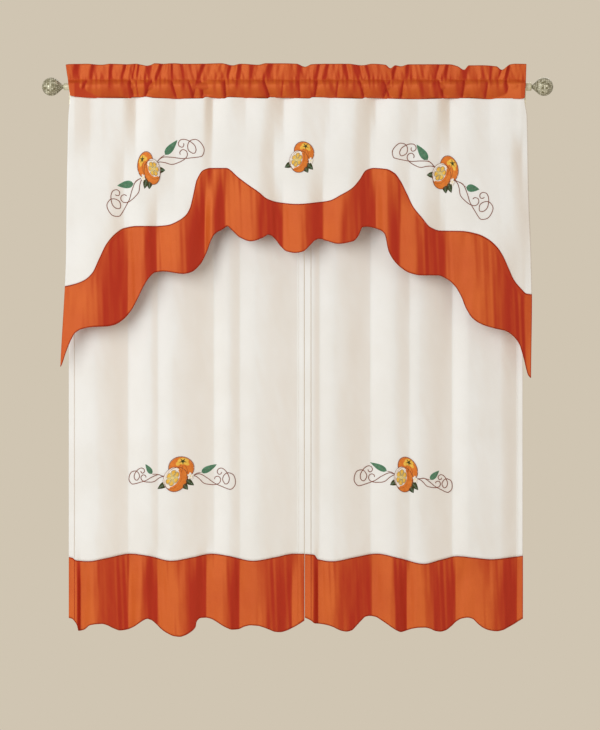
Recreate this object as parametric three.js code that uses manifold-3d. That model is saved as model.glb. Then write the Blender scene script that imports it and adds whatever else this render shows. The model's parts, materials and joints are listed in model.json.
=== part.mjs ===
// Kitchen curtain set on a double wall rod: a scalloped swag valance on the front rod, and a pair
// of tier curtains on the rear rod.
// Millimetres. X runs along the rods, -Y faces the room, +Z is up. The origin is on the wall
// plane, midway between the brackets, at the height of both rod axes.
import * as THREE from "three";
import { mergeVertices } from "three/addons/utils/BufferGeometryUtils.js";
import Module from "manifold-3d";

const wasm = await Module();
wasm.setup();

// ---- Driving dimensions ----
const seamGap = 0.3; // left between pieces that touch
const slideFit = 0.3; // radial clearance of a tube in a tube, a plug in a tube and a stud in a plug
const cradleFit = 0.5; // clearance between a rod and its open cradle or its cloth pocket

// Rods
const rodHalfLength = 466; // from the middle to a tube's end
const frontRodRadius = 8.2;
const rearRodRadius = 6.6;
const tubeWall = 0.7;
const tubeOverlap = 400; // length of inner tube inside the outer tube
const outerTubeShare = 1.64; // length of an outer tube, in half lengths
const frontStandOff = 85; // wall to front rod axis
const rearStandOff = 45; // wall to rear rod axis
const plugDepth = 14;
const plugDomeHeight = 2;
const rearCapHeight = 1.5;

// Finials
const finialStudRadius = 2.9;
const finialStudLength = 12;
const finialNeckRadius = 3;
const ballRadius = 18.4;
const finialLength = 42.5; // neck to the ball's far side

// Brackets
const bracketInset = 14; // from a tube's end to the middle of its bracket
const plateWidth = 14;
const plateThickness = 2.5;
const plateTop = 28;
const plateBottom = -52;
const plateHoleRadius = 2.3;
const plateHoleInset = 7; // from a plate's end
const armThickness = 4;
const armTop = -11.5;
const armDepth = 11;
const cradleWidth = 7;
const cradleWall = 2.6;
const cradleLipDrop = 1.5; // the front lip stops this far below the rod axis
const cradleBackRise = 6; // the back wall stands this far above the rod axis
const footWidth = 12;
const footThickness = 2.6;
const footBelowArm = 13;
const armScrewRadius = 1.9;
const armScrewHeadRadius = 3.6;
const armScrewHeadHeight = 2.2;
const cupScrewRadius = 1.5;
const cupScrewHeadRadius = 3.4;
const cupScrewHeadHeight = 4;

// Swag valance
const clothThickness = 1.2;
const foldDepth = 9; // how far a fold leaves the cloth's own plane, to one side
const swagSideInset = 3; // from a tube's end to the side of the valance
const swagPocketInset = 20; // from a tube's end to the end of the valance's pocket
const swagRuffleTop = 47;
const swagPocketTop = 14;
const swagPocketBottom = -23;
const swagFlareDrop = 150; // below the pocket, where the valance reaches its full width
const swagStraightDrop = 36; // below the pocket, where it starts to flare past the brackets
const swagDrop = 577; // rod axis to the tips of the tails
const swagFolds = 5; // whole folds across the valance

// Tier curtains
const tierLeftInset = 7; // from a tube's end to the tier's outer edge
const tierRightInset = 14;
const tiersMeetX = 14;
const tiersMeetGap = 3;
const tierRuffleTop = 36;
const tierPocketTop = 11;
const tierPocketBottom = -30;
const tierSeamDrop = 943; // rod axis to the seam of the hem band
const tierHemDrop = 1078; // rod axis to the middle of the scalloped hem
const tierSeamWave = 7;
const tierHeaderEndGap = 14; // a tier's header stops this far inside the curtain's outer edge
const tierFlareDrop = 150; // below the pocket, where a tier reaches its full width
const tierFolds = 3; // whole folds across one curtain
const sideHemWidth = 12;
const sideHemThickness = 2.4;

const roundSegments = 24;
const screwSegments = 16;

const bracketX = rodHalfLength - bracketInset;
const swagHalfWidth = rodHalfLength - swagSideInset;
const swagHeaderHalfWidth = rodHalfLength - swagPocketInset;

// ---- Finishes ----
const finishes = {
  cream: new THREE.MeshStandardMaterial({ color: 0xeceae2, roughness: 0.75, side: THREE.DoubleSide }),
  orange: new THREE.MeshStandardMaterial({ color: 0xc8522a, roughness: 0.5, side: THREE.DoubleSide }),
  pewter: new THREE.MeshStandardMaterial({ color: 0x8d8b80, roughness: 0.35, metalness: 0.9 }),
  mosaic: new THREE.MeshStandardMaterial({ color: 0x6f7364, roughness: 0.4, metalness: 0.8 }),
  steel: new THREE.MeshStandardMaterial({ color: 0x9a9a98, roughness: 0.4, metalness: 1 }),
};

// ---- Geometry helpers ----
// A closed geometry as a solid that can be joined and cut.
function solid(geometry) {
  const bare = geometry.index ? geometry.toNonIndexed() : geometry.clone();
  bare.deleteAttribute("normal");
  bare.deleteAttribute("uv");
  const merged = mergeVertices(bare, 1e-4);
  return new wasm.Manifold(
    new wasm.Mesh({
      numProp: 3,
      vertProperties: new Float32Array(merged.attributes.position.array),
      triVerts: new Uint32Array(merged.index.array),
    }),
  );
}

// A solid as a flat-shaded geometry.
function geometryOf(body) {
  const mesh = body.getMesh();
  const points = new Float32Array(mesh.numVert * 3);
  for (let i = 0; i < mesh.numVert; i++) {
    points.set(mesh.vertProperties.subarray(i * mesh.numProp, i * mesh.numProp + 3), i * 3);
  }
  const indexed = new THREE.BufferGeometry();
  indexed.setAttribute("position", new THREE.BufferAttribute(points, 3));
  indexed.setIndex(new THREE.BufferAttribute(new Uint32Array(mesh.triVerts), 1));
  const flat = indexed.toNonIndexed();
  flat.computeVertexNormals();
  return flat;
}

// Prisms: a shape drawn in two axes, swept along the third from low to high.
const basisX = new THREE.Matrix4().makeBasis(
  new THREE.Vector3(0, 1, 0), new THREE.Vector3(0, 0, 1), new THREE.Vector3(1, 0, 0));
const basisY = new THREE.Matrix4().makeBasis(
  new THREE.Vector3(1, 0, 0), new THREE.Vector3(0, 0, 1), new THREE.Vector3(0, -1, 0));

function prism(shape, length, curveSegments = 12) {
  return new THREE.ExtrudeGeometry(shape, {
    depth: length, steps: 1, bevelEnabled: false, curveSegments });
}

function prismAlongX(shape, low, high, curveSegments) {
  return prism(shape, high - low, curveSegments).applyMatrix4(basisX).translate(low, 0, 0);
}

function prismAlongY(shape, low, high, curveSegments) {
  return prism(shape, high - low, curveSegments).applyMatrix4(basisY).translate(0, high, 0);
}

function prismAlongZ(shape, low, high) {
  return prism(shape, high - low).translate(0, 0, low);
}

// A turned piece. The profile lists [distance along the axis, radius].
function turned(profile, segments) {
  const points = profile.map(([along, radius]) => new THREE.Vector2(radius, along));
  return new THREE.LatheGeometry(points, segments);
}

// A turned piece's axis laid along +X or -X.
function turnedAlongX(profile, side, segments = roundSegments) {
  return turned(profile, segments).rotateZ(-side * Math.PI / 2);
}

// A turned piece whose distances run from the wall towards the room.
function turnedTowardsRoom(profile, segments = screwSegments) {
  return turned(profile, segments).rotateX(Math.PI);
}

function circlePath(radius, centreX = 0, centreY = 0) {
  return new THREE.Path().absarc(centreX, centreY, radius, 0, Math.PI * 2, false);
}

function outline(points) {
  return new THREE.Shape(points.map(([a, b]) => new THREE.Vector2(a, b)));
}

const assembly = new THREE.Group();

function place(name, geometry, finish, x = 0, y = 0, z = 0) {
  const mesh = new THREE.Mesh(geometry, finishes[finish]);
  mesh.name = name;
  mesh.position.set(x, y, z);
  assembly.add(mesh);
}

// ---- Rods: an inner tube that telescopes out of an outer one, to the left ----
function tube(outerRadius, lowX, highX) {
  const ring = new THREE.Shape().absarc(0, 0, outerRadius, 0, Math.PI * 2, false);
  ring.holes.push(circlePath(outerRadius - tubeWall));
  return prismAlongX(ring, lowX, highX, roundSegments / 2);
}

function rod(name, radius, y) {
  const outerStart = rodHalfLength - outerTubeShare * rodHalfLength;
  const innerRadius = radius - tubeWall - slideFit;
  place(`${name}_outer_tube`, tube(radius, outerStart, rodHalfLength), "pewter", 0, y, 0);
  place(`${name}_inner_tube`, tube(innerRadius, -rodHalfLength, outerStart + tubeOverlap),
    "pewter", 0, y, 0);
  return innerRadius;
}

const frontInnerRadius = rod("front_rod", frontRodRadius, -frontStandOff);
const rearInnerRadius = rod("rear_rod", rearRodRadius, -rearStandOff);

// A plug closes a front tube with a low dome, and takes the finial's stud.
function endPlug(tubeRadius, side) {
  const bore = finialStudRadius + slideFit;
  const fitted = tubeRadius - tubeWall - slideFit;
  const domeSteps = 5;
  const profile = [
    [-plugDepth, bore],
    [-plugDepth, fitted],
    [seamGap, fitted],
    [seamGap, tubeRadius],
  ];
  for (let i = 1; i <= domeSteps; i++) {
    const angle = (i / domeSteps) * Math.PI / 2;
    profile.push([
      seamGap + plugDomeHeight * Math.sin(angle),
      bore + 0.6 + (tubeRadius - bore - 0.6) * Math.cos(angle),
    ]);
  }
  profile.push([seamGap + plugDomeHeight, bore]);
  profile.push([-plugDepth, bore]);
  return turnedAlongX(profile, side);
}

// A turned ball on a cone, with a stud that screws into the rod's plug.
function finial(side) {
  const start = plugDomeHeight + 2 * seamGap;
  const centre = start + finialLength - ballRadius;
  const coneRun = centre - start;
  // The cone meets the ball where its slope is tangent to it.
  const reach = Math.hypot(coneRun, finialNeckRadius);
  const tangent = Math.asin(ballRadius / reach) - Math.atan2(finialNeckRadius, coneRun);
  const profile = [
    [start - finialStudLength, 0],
    [start - finialStudLength, finialStudRadius],
    [start, finialStudRadius],
    [start, finialNeckRadius],
  ];
  const ballSteps = 12;
  const first = Math.PI / 2 + tangent;
  for (let i = 0; i <= ballSteps; i++) {
    const angle = first * (1 - i / ballSteps);
    const radius = i === ballSteps ? 0 : ballRadius * Math.sin(angle);
    profile.push([centre + ballRadius * Math.cos(angle), radius]);
  }
  return turnedAlongX(profile, side);
}

// A plain cap that closes a rear tube.
function rearCap(tubeRadius, side) {
  const fitted = tubeRadius - tubeWall - slideFit;
  return turnedAlongX([
    [-plugDepth, 0],
    [-plugDepth, fitted],
    [seamGap, fitted],
    [seamGap, tubeRadius],
    [rearCapHeight, tubeRadius],
    [seamGap + rearCapHeight, tubeRadius - 1],
    [seamGap + rearCapHeight, 0],
  ], side);
}

const sides = [
  { word: "left", sign: -1, frontTube: frontInnerRadius, rearTube: rearInnerRadius },
  { word: "right", sign: 1, frontTube: frontRodRadius, rearTube: rearRodRadius },
];

for (const { word, sign, frontTube, rearTube } of sides) {
  const end = sign * rodHalfLength;
  place(`rod_plug_${word}`, endPlug(frontTube, sign), "pewter", end, -frontStandOff, 0);
  place(`finial_${word}`, finial(sign), "mosaic", end, -frontStandOff, 0);
  place(`rear_cap_${word}`, rearCap(rearTube, sign), "pewter", end, -rearStandOff, 0);
}

// ---- Brackets ----
const footBack = -plateThickness - seamGap;
const footFront = footBack - footThickness;
const armBottom = armTop - armDepth;
const armScrewZ = armBottom - footBelowArm / 2;

// A flat plate with rounded ends, two holes for the wall screws and one for the arm's screw.
function wallPlate() {
  const half = plateWidth / 2;
  const face = new THREE.Shape();
  face.absarc(0, plateTop - half, half, 0, Math.PI, false);
  face.absarc(0, plateBottom + half, half, Math.PI, 2 * Math.PI, false);
  face.holes.push(circlePath(plateHoleRadius, 0, plateTop - plateHoleInset));
  face.holes.push(circlePath(plateHoleRadius, 0, plateBottom + plateHoleInset));
  face.holes.push(circlePath(armScrewRadius + slideFit, 0, armScrewZ));
  return prismAlongY(face, -plateThickness, 0, 8);
}

// An open cradle for one rod, seen from the side: a round seat, a low front lip and a taller
// back wall, standing on the arm.
function cradle(rodRadius, y) {
  const seat = rodRadius + cradleFit;
  const skin = seat + cradleWall;
  const shape = new THREE.Shape();
  shape.moveTo(y - skin, -cradleLipDrop);
  shape.lineTo(y - skin, -seat);
  shape.lineTo(y - seat * 0.7, armTop - 1);
  shape.lineTo(y + seat * 0.7, armTop - 1);
  shape.lineTo(y + skin, -seat);
  shape.lineTo(y + skin, cradleBackRise);
  shape.lineTo(y + seat, cradleBackRise);
  shape.lineTo(y + seat, 0);
  const steps = 12;
  const lipAngle = Math.asin(cradleLipDrop / seat);
  for (let i = 0; i <= steps; i++) {
    const angle = -(i / steps) * (Math.PI - lipAngle);
    shape.lineTo(y + seat * Math.cos(angle), seat * Math.sin(angle));
  }
  const upright = solid(prismAlongX(shape, -cradleWidth / 2, cradleWidth / 2));
  const screwHole = turnedTowardsRoom([
    [-skin - 1, 0],
    [-skin - 1, cupScrewRadius + slideFit],
    [0, cupScrewRadius + slideFit],
    [0, 0],
  ]).translate(0, y, 0);
  return upright.subtract(solid(screwHole));
}

// The arm: a deep bar on a screwed foot, with a cradle for each rod.
function bracketArm() {
  const frontEnd = -frontStandOff - frontRodRadius - cradleFit - cradleWall;
  const nose = 5;
  const side = outline([
    [footBack, armBottom],
    [footBack, armTop],
    [frontEnd + 1, armTop],
    [frontEnd + 1, armTop - nose],
    [frontEnd + 1 + armDepth - nose, armBottom],
  ]);
  const bar = solid(prismAlongX(side, -armThickness / 2, armThickness / 2));
  const footShape = outline([
    [-footWidth / 2, armBottom - footBelowArm],
    [footWidth / 2, armBottom - footBelowArm],
    [footWidth / 2, armTop + 2],
    [-footWidth / 2, armTop + 2],
  ]);
  footShape.holes.push(circlePath(armScrewRadius + slideFit, 0, armScrewZ));
  const foot = solid(prismAlongY(footShape, footFront, footBack, 10));
  const body = bar
    .add(foot)
    .add(cradle(frontRodRadius, -frontStandOff))
    .add(cradle(rearRodRadius, -rearStandOff));
  return geometryOf(body);
}

// A pan-head screw pointing at the wall, its head's seat at zero.
function armScrew() {
  const reach = plateThickness + footThickness + seamGap - 0.5;
  return turnedTowardsRoom([
    [-reach, 0],
    [-reach, armScrewRadius],
    [seamGap, armScrewRadius],
    [seamGap, armScrewHeadRadius],
    [armScrewHeadHeight * 0.6, armScrewHeadRadius],
    [armScrewHeadHeight, armScrewHeadRadius * 0.6],
    [armScrewHeadHeight, 0],
  ]);
}

// A thumb screw through a cradle's back wall, its point just short of the rod. The distances run
// from the rod's axis towards the room, so the screw lies on the negative side.
function cupScrew(rodRadius) {
  const wallBack = rodRadius + cradleFit + cradleWall;
  return turnedTowardsRoom([
    [-wallBack - seamGap - cupScrewHeadHeight, 0],
    [-wallBack - seamGap - cupScrewHeadHeight, cupScrewHeadRadius],
    [-wallBack - seamGap, cupScrewHeadRadius],
    [-wallBack - seamGap, cupScrewRadius],
    [-rodRadius - seamGap, cupScrewRadius],
    [-rodRadius - seamGap, 0],
  ]);
}

for (const { word, sign } of sides) {
  const x = sign * bracketX;
  place(`wall_plate_${word}`, wallPlate(), "pewter", x, 0, 0);
  place(`bracket_arm_${word}`, bracketArm(), "pewter", x, 0, 0);
  place(`arm_screw_${word}`, armScrew(), "steel", x, footFront, armScrewZ);
  place(`front_cup_screw_${word}`, cupScrew(frontRodRadius), "steel", x, -frontStandOff, 0);
  place(`rear_cup_screw_${word}`, cupScrew(rearRodRadius), "steel", x, -rearStandOff, 0);
}

// ---- Cloth ----
// A header: a gathered ruffle standing over a pocket that wraps the rod, drawn as one section.
function header(rodRadius, ruffleTop, pocketTop, pocketBottom, lowX, highX, lowTopX, highTopX) {
  const pocketRadius = rodRadius + cradleFit;
  const bulge = pocketRadius + 2 * clothThickness;
  const ruffleHalf = 3;
  const seamHalf = 2;
  const section = new THREE.Shape();
  section.moveTo(-ruffleHalf, ruffleTop);
  section.lineTo(-ruffleHalf * 1.4, pocketTop + 8);
  section.lineTo(-seamHalf, pocketTop);
  section.quadraticCurveTo(-bulge, pocketTop * 0.8, -bulge, 0);
  section.quadraticCurveTo(-bulge, pocketBottom * 0.6, -seamHalf, pocketBottom);
  section.lineTo(seamHalf, pocketBottom);
  section.quadraticCurveTo(bulge, pocketBottom * 0.6, bulge, 0);
  section.quadraticCurveTo(bulge, pocketTop * 0.8, seamHalf, pocketTop);
  section.lineTo(ruffleHalf * 1.4, pocketTop + 8);
  section.lineTo(ruffleHalf, ruffleTop);
  section.holes.push(circlePath(pocketRadius));
  const widest = solid(prismAlongX(section, lowTopX, highTopX, 8));
  const face = outline([
    [lowX, pocketBottom - 1],
    [highX, pocketBottom - 1],
    [highX, pocketTop],
    [highTopX, ruffleTop],
    [highTopX, ruffleTop + 1],
    [lowTopX, ruffleTop + 1],
    [lowTopX, ruffleTop],
    [lowX, pocketTop],
  ]);
  const reach = 2 * bulge;
  return geometryOf(widest.intersect(solid(prismAlongY(face, -reach, reach))));
}

// A sheet folded in plan about its own plane, flat at both side edges.
function foldedSlab(lowX, highX, folds, lowZ, highZ) {
  const steps = folds * 8;
  const lineAt = (offset) => {
    const line = [];
    for (let i = 0; i <= steps; i++) {
      const share = i / steps;
      const fold = -foldDepth * Math.sin(2 * Math.PI * folds * share);
      line.push([lowX + (highX - lowX) * share, fold + offset]);
    }
    return line;
  };
  const near = lineAt(-clothThickness / 2);
  const far = lineAt(clothThickness / 2);
  return solid(prismAlongZ(outline([...near, ...far.reverse()]), lowZ, highZ));
}

// A smooth line through a few points, sampled evenly.
function smooth(points, samples) {
  const curve = new THREE.SplineCurve(points.map(([a, b]) => new THREE.Vector2(a, b)));
  return curve.getPoints(samples);
}

// The line moved sideways by a distance, to its left as it runs.
function shifted(line, distance) {
  return line.map((point, i) => {
    const before = line[Math.max(i - 1, 0)];
    const after = line[Math.min(i + 1, line.length - 1)];
    const along = after.clone().sub(before).normalize();
    return [point.x - along.y * distance, point.y + along.x * distance];
  });
}

// The cloth of a folded slab between two lines that both run towards +X, in the face's X and Z.
function clothBetween(slab, upper, lower) {
  const face = outline([...lower, ...[...upper].reverse()]);
  const reach = 2 * foldDepth;
  return geometryOf(slab.intersect(solid(prismAlongY(face, -reach, reach))));
}

// Half of the valance's two outlines from its middle to its side: share of the half width, and
// share of the drop from the rod axis to the tips of the tails.
const swagSeamHalf = [
  [0, 0.407], [0.065, 0.402], [0.13, 0.393], [0.2, 0.367], [0.26, 0.319], [0.295, 0.291],
  [0.335, 0.284], [0.385, 0.285], [0.415, 0.297], [0.435, 0.326], [0.455, 0.38], [0.48, 0.43],
  [0.53, 0.474], [0.59, 0.493], [0.67, 0.492], [0.75, 0.504], [0.8, 0.523], [0.845, 0.572],
  [0.88, 0.64], [0.92, 0.688], [0.96, 0.706], [1.03, 0.709],
];
const swagHemHalf = [
  [0, 0.573], [0.04, 0.563], [0.065, 0.541], [0.1, 0.519], [0.14, 0.527], [0.19, 0.537],
  [0.235, 0.528], [0.265, 0.505], [0.283, 0.484], [0.325, 0.492], [0.36, 0.515], [0.38, 0.557],
  [0.41, 0.605], [0.45, 0.634], [0.51, 0.647], [0.57, 0.647], [0.615, 0.658], [0.655, 0.69],
  [0.69, 0.74], [0.73, 0.791], [0.785, 0.824], [0.87, 0.836], [0.915, 0.857], [0.945, 0.9],
  [0.965, 0.955], [0.985, 0.999], [1.03, 1],
];

// Both halves as one line across the valance, from left to right.
function swagLine(half, samples) {
  const right = half.map(([across, down]) => [across * swagHalfWidth, -down * swagDrop]);
  const left = right.slice(1).reverse().map(([x, z]) => [-x, z]);
  return smooth([...left, ...right], samples);
}

function swag() {
  const seam = swagLine(swagSeamHalf, 104);
  const hem = swagLine(swagHemHalf, 128);
  const top = swagPocketBottom - seamGap;
  const slab = foldedSlab(-swagHalfWidth, swagHalfWidth, swagFolds, -swagDrop - 1, top);
  const flareStart = swagPocketBottom - swagStraightDrop;
  const flareEnd = swagPocketBottom - swagFlareDrop;
  const beyond = swagHalfWidth + 20;
  const above = [
    [-beyond, flareEnd],
    [-swagHalfWidth, flareEnd],
    [-swagHeaderHalfWidth, flareStart],
    [-swagHeaderHalfWidth, top + 1],
    [swagHeaderHalfWidth, top + 1],
    [swagHeaderHalfWidth, flareStart],
    [swagHalfWidth, flareEnd],
    [beyond, flareEnd],
  ];
  place("swag_header",
    header(frontRodRadius, swagRuffleTop, swagPocketTop, swagPocketBottom,
      -swagHeaderHalfWidth, swagHeaderHalfWidth, -swagHalfWidth, swagHalfWidth),
    "orange", 0, -frontStandOff, 0);
  place("swag_panel", clothBetween(slab, above, shifted(seam, seamGap / 2)),
    "cream", 0, -frontStandOff, 0);
  place("swag_border",
    clothBetween(slab, shifted(seam, -seamGap / 2), hem.map((point) => [point.x, point.y])),
    "orange", 0, -frontStandOff, 0);
}

// A tier's hem as scallops: share of the width from the outer edge to the leading edge, and
// rise above the hem's mean height.
const tierScallops = [
  [-0.01, 14], [0.04, -8], [0.13, 2], [0.22, -10], [0.335, 14], [0.468, -20], [0.575, 14],
  [0.69, -9], [0.767, 0], [0.88, -12], [1.01, 12],
];

function tier(word, outerX, leadX) {
  const inward = Math.sign(leadX - outerX);
  const width = Math.abs(leadX - outerX);
  const hemStep = sideHemWidth + seamGap;
  const lowX = Math.min(outerX, leadX) + hemStep;
  const highX = Math.max(outerX, leadX) - hemStep;
  const top = tierPocketBottom - seamGap;
  const deepest = -tierHemDrop - 60;
  const slab = foldedSlab(lowX, highX, tierFolds, deepest, top);
  const seamSamples = 36;
  const seam = [];
  for (let i = 0; i <= seamSamples; i++) {
    const share = -0.02 + 1.04 * (i / seamSamples);
    seam.push(new THREE.Vector2(
      lowX + (highX - lowX) * share,
      -tierSeamDrop + tierSeamWave * Math.cos(2 * Math.PI * tierFolds * share),
    ));
  }
  const hemPoints = tierScallops.map(([share, rise]) => [outerX + inward * width * share,
    -tierHemDrop + rise]);
  const hem = smooth(inward > 0 ? hemPoints : hemPoints.reverse(), 60);
  const flareEnd = tierPocketBottom - tierFlareDrop;
  const headerOuter = outerX + inward * tierHeaderEndGap;
  const panelOuter = outerX + inward * hemStep;
  const panelLead = leadX + inward * 9;
  const above = [
    [panelOuter - inward * 9, flareEnd],
    [panelOuter, flareEnd],
    [headerOuter + inward * hemStep, top + 1],
    [panelLead, top + 1],
  ];
  if (inward < 0) {
    above.reverse();
  }
  const headerLow = Math.min(headerOuter, leadX);
  const headerHigh = Math.max(headerOuter, leadX);
  const y = -rearStandOff;
  place(`tier_${word}_header`,
    header(rearRodRadius, tierRuffleTop, tierPocketTop, tierPocketBottom,
      headerLow, headerHigh, headerLow, headerHigh),
    "orange", 0, y, 0);
  place(`tier_${word}_panel`, clothBetween(slab, above, shifted(seam, seamGap / 2)),
    "cream", 0, y, 0);
  place(`tier_${word}_band`,
    clothBetween(slab, shifted(seam, -seamGap / 2), hem.map((point) => [point.x, point.y])),
    "orange", 0, y, 0);
  // A side hem runs down the curtain's edge, from the header's end.
  const strips = [
    ["outer_hem", headerOuter, outerX, inward],
    ["leading_hem", leadX, leadX, -inward],
  ];
  for (const [piece, topEdge, edge, into] of strips) {
    const strip = outline([
      [topEdge, top],
      [edge, flareEnd],
      [edge, -tierHemDrop],
      [edge + into * sideHemWidth, -tierHemDrop],
      [edge + into * sideHemWidth, flareEnd],
      [topEdge + into * sideHemWidth, top],
    ]);
    const cloth = solid(prismAlongY(strip, -sideHemThickness / 2, sideHemThickness / 2));
    place(`tier_${word}_${piece}`, geometryOf(cloth), "cream", 0, y, 0);
  }
}

swag();
tier("left", tierLeftInset - rodHalfLength, tiersMeetX - tiersMeetGap / 2);
tier("right", rodHalfLength - tierRightInset, tiersMeetX + tiersMeetGap / 2);

export default assembly;
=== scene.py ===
import json
import math

import bmesh
import bpy
import numpy as np
from mathutils import Matrix, Vector
from mathutils.kdtree import KDTree


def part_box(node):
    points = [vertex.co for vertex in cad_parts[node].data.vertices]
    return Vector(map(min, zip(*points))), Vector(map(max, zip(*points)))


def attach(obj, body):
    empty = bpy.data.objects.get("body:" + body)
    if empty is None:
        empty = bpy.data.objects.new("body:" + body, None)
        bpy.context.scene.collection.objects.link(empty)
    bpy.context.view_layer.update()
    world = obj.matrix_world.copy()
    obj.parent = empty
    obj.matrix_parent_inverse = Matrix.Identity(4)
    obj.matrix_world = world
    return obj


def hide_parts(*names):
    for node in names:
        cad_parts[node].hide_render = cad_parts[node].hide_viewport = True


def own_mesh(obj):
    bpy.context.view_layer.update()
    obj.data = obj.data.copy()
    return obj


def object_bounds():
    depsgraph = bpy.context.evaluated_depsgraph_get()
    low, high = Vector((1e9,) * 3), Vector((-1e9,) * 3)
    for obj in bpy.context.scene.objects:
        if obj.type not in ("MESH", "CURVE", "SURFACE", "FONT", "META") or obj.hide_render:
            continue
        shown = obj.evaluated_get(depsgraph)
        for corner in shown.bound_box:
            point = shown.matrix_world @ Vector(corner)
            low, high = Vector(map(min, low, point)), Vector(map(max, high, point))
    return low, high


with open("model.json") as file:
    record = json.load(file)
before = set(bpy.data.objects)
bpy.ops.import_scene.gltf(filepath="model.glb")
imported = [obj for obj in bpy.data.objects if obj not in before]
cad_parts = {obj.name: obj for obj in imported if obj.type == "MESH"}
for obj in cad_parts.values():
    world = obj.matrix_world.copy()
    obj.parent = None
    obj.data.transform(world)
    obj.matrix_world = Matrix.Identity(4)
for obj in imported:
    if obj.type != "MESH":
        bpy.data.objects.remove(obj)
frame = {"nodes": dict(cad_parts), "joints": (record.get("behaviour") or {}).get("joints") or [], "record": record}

MM = 0.001
cad_low, cad_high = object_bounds()


# ---- Places taken from the frame ----
def span(node):
    """A CAD node's lowest and highest corner, in millimetres."""
    low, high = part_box(node)
    return low / MM, high / MM


def middle(node):
    low, high = span(node)
    return (low + high) / 2


swag_header_low, swag_header_high = span("swag_header")
swag_panel_low, swag_panel_high = span("swag_panel")
swag_border_low = span("swag_border")[0]
FRONT_ROD_Y = middle("front_rod_outer_tube").y
REAR_ROD_Y = middle("rear_rod_outer_tube").y
FRONT_ROD_RADIUS = (span("front_rod_outer_tube")[1] - span("front_rod_outer_tube")[0]).z / 2
REAR_ROD_RADIUS = (span("rear_rod_outer_tube")[1] - span("rear_rod_outer_tube")[0]).z / 2

# The valance is drawn at its own size, and stretched to the frame's.
DRAWN_WIDTH, DRAWN_DROP = 926, 577
SWAG_WIDE = (swag_panel_high.x - swag_panel_low.x) / DRAWN_WIDTH
SWAG_DEEP = -swag_border_low.z / DRAWN_DROP
SWAG_HALF_WIDTH = swag_header_high.x - 7  # half the valance's width before its sides flare

CLOTH = 0.6  # thickness of every cloth


# ---- Lines and noise ----
def smooth_line(points, at):
    """Heights of a smooth line through a few points, with no overshoot between them."""
    xs, ys = np.array(points, float).T
    step = np.diff(xs)
    rise = np.diff(ys) / step
    before, after = rise[:-1], rise[1:]
    same_way = before * after > 0
    slope = np.zeros(len(xs))
    slope[1:-1][same_way] = 2 * (before * after)[same_way] / (before + after)[same_way]
    slope[0], slope[-1] = rise[0], rise[-1]
    i = np.clip(np.searchsorted(xs, at) - 1, 0, len(xs) - 2)
    t = np.clip((at - xs[i]) / step[i], 0, 1)
    return (
        ys[i] * (1 + 2 * t) * (1 - t) ** 2
        + slope[i] * step[i] * t * (1 - t) ** 2
        + ys[i + 1] * t * t * (3 - 2 * t)
        - slope[i + 1] * step[i] * t * t * (1 - t)
    )


def ridges(folds, at, sharpness=0.6):
    """Heights of a row of folds, each given as (place, height): crests round, valleys sharper."""
    xs, ys = np.array(folds, float).T
    i = np.clip(np.searchsorted(xs, at) - 1, 0, len(xs) - 2)
    t = np.clip((at - xs[i]) / (xs[i + 1] - xs[i]), 0, 1)
    soft = t * t * (3 - 2 * t)
    from_valley = np.sin(t * math.pi / 2)
    to_valley = 1 - np.cos(t * math.pi / 2)
    keen = np.where(ys[i + 1] > ys[i], from_valley, to_valley)
    share = soft + (keen - soft) * sharpness
    return ys[i] + (ys[i + 1] - ys[i]) * share


def ease(t):
    t = np.clip(t, 0, 1)
    return t * t * (3 - 2 * t)


LATTICE = 97  # random heights along each side of the noise, before it repeats
LATTICE_START = 40  # where the noise's own middle falls in them


def wander(across, down, width, length, seed):
    """Smooth noise from -1 to 1 that changes over about width across and length down."""
    lattice = np.random.default_rng(seed).uniform(-1, 1, (LATTICE, LATTICE))
    x = np.asarray(across, float) / width + LATTICE_START
    z = np.asarray(down, float) / length + LATTICE_START
    i, j = np.floor(x).astype(int), np.floor(z).astype(int)
    s, t = ease(x - i), ease(z - j)
    i, j, k, m = i % LATTICE, j % LATTICE, (i + 1) % LATTICE, (j + 1) % LATTICE
    upper = lattice[i, j] * (1 - s) + lattice[k, j] * s
    lower = lattice[i, m] * (1 - s) + lattice[k, m] * s
    return upper * (1 - t) + lower * t


def curve_through(points, step):
    """Evenly spaced points on a smooth curve through a few points, in two axes or three."""
    p = np.array(points, float)
    p = np.vstack([2 * p[0] - p[1], p, 2 * p[-1] - p[-2]])
    out = []
    for a, b, c, d in zip(p, p[1:], p[2:], p[3:]):
        count = max(2, int(np.linalg.norm(c - b) / step) + 1)
        t = np.linspace(0, 1, count, endpoint=False)[:, None]
        out.append(
            0.5 * (2 * b + (c - a) * t + (2 * a - 5 * b + 4 * c - d) * t**2
                   + (3 * b - a - 3 * c + d) * t**3)
        )
    out.append(p[-2:-1])
    return np.vstack(out)


# ---- Materials ----
def linear(red, green, blue):
    """A colour given as 0 to 255 in each channel, as the shader wants it."""
    def one(value):
        v = value / 255
        return v / 12.92 if v <= 0.04045 else ((v + 0.055) / 1.055) ** 2.4
    return one(red), one(green), one(blue), 1.0


def new_group(name, inputs, outputs):
    """A shader node group with named sockets: each is (name, kind) or (name, kind, value)."""
    group = bpy.data.node_groups.new(name, "ShaderNodeTree")
    for socket_name, kind, *value in inputs:
        socket = group.interface.new_socket(socket_name, in_out="INPUT", socket_type=kind)
        if value:
            socket.default_value = value[0]
    for socket_name, kind in outputs:
        group.interface.new_socket(socket_name, in_out="OUTPUT", socket_type=kind)
    inside = group.nodes.new("NodeGroupInput")
    outside = group.nodes.new("NodeGroupOutput")
    return group, inside.outputs, outside.inputs


def math_node(tree, operation, *values):
    """A Math node fed with sockets or plain numbers, returning its result."""
    node = tree.nodes.new("ShaderNodeMath")
    node.operation = operation
    for socket, value in zip(node.inputs, values):
        if isinstance(value, (int, float)):
            socket.default_value = value
        else:
            tree.links.new(value, socket)
    return node.outputs[0]


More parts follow.
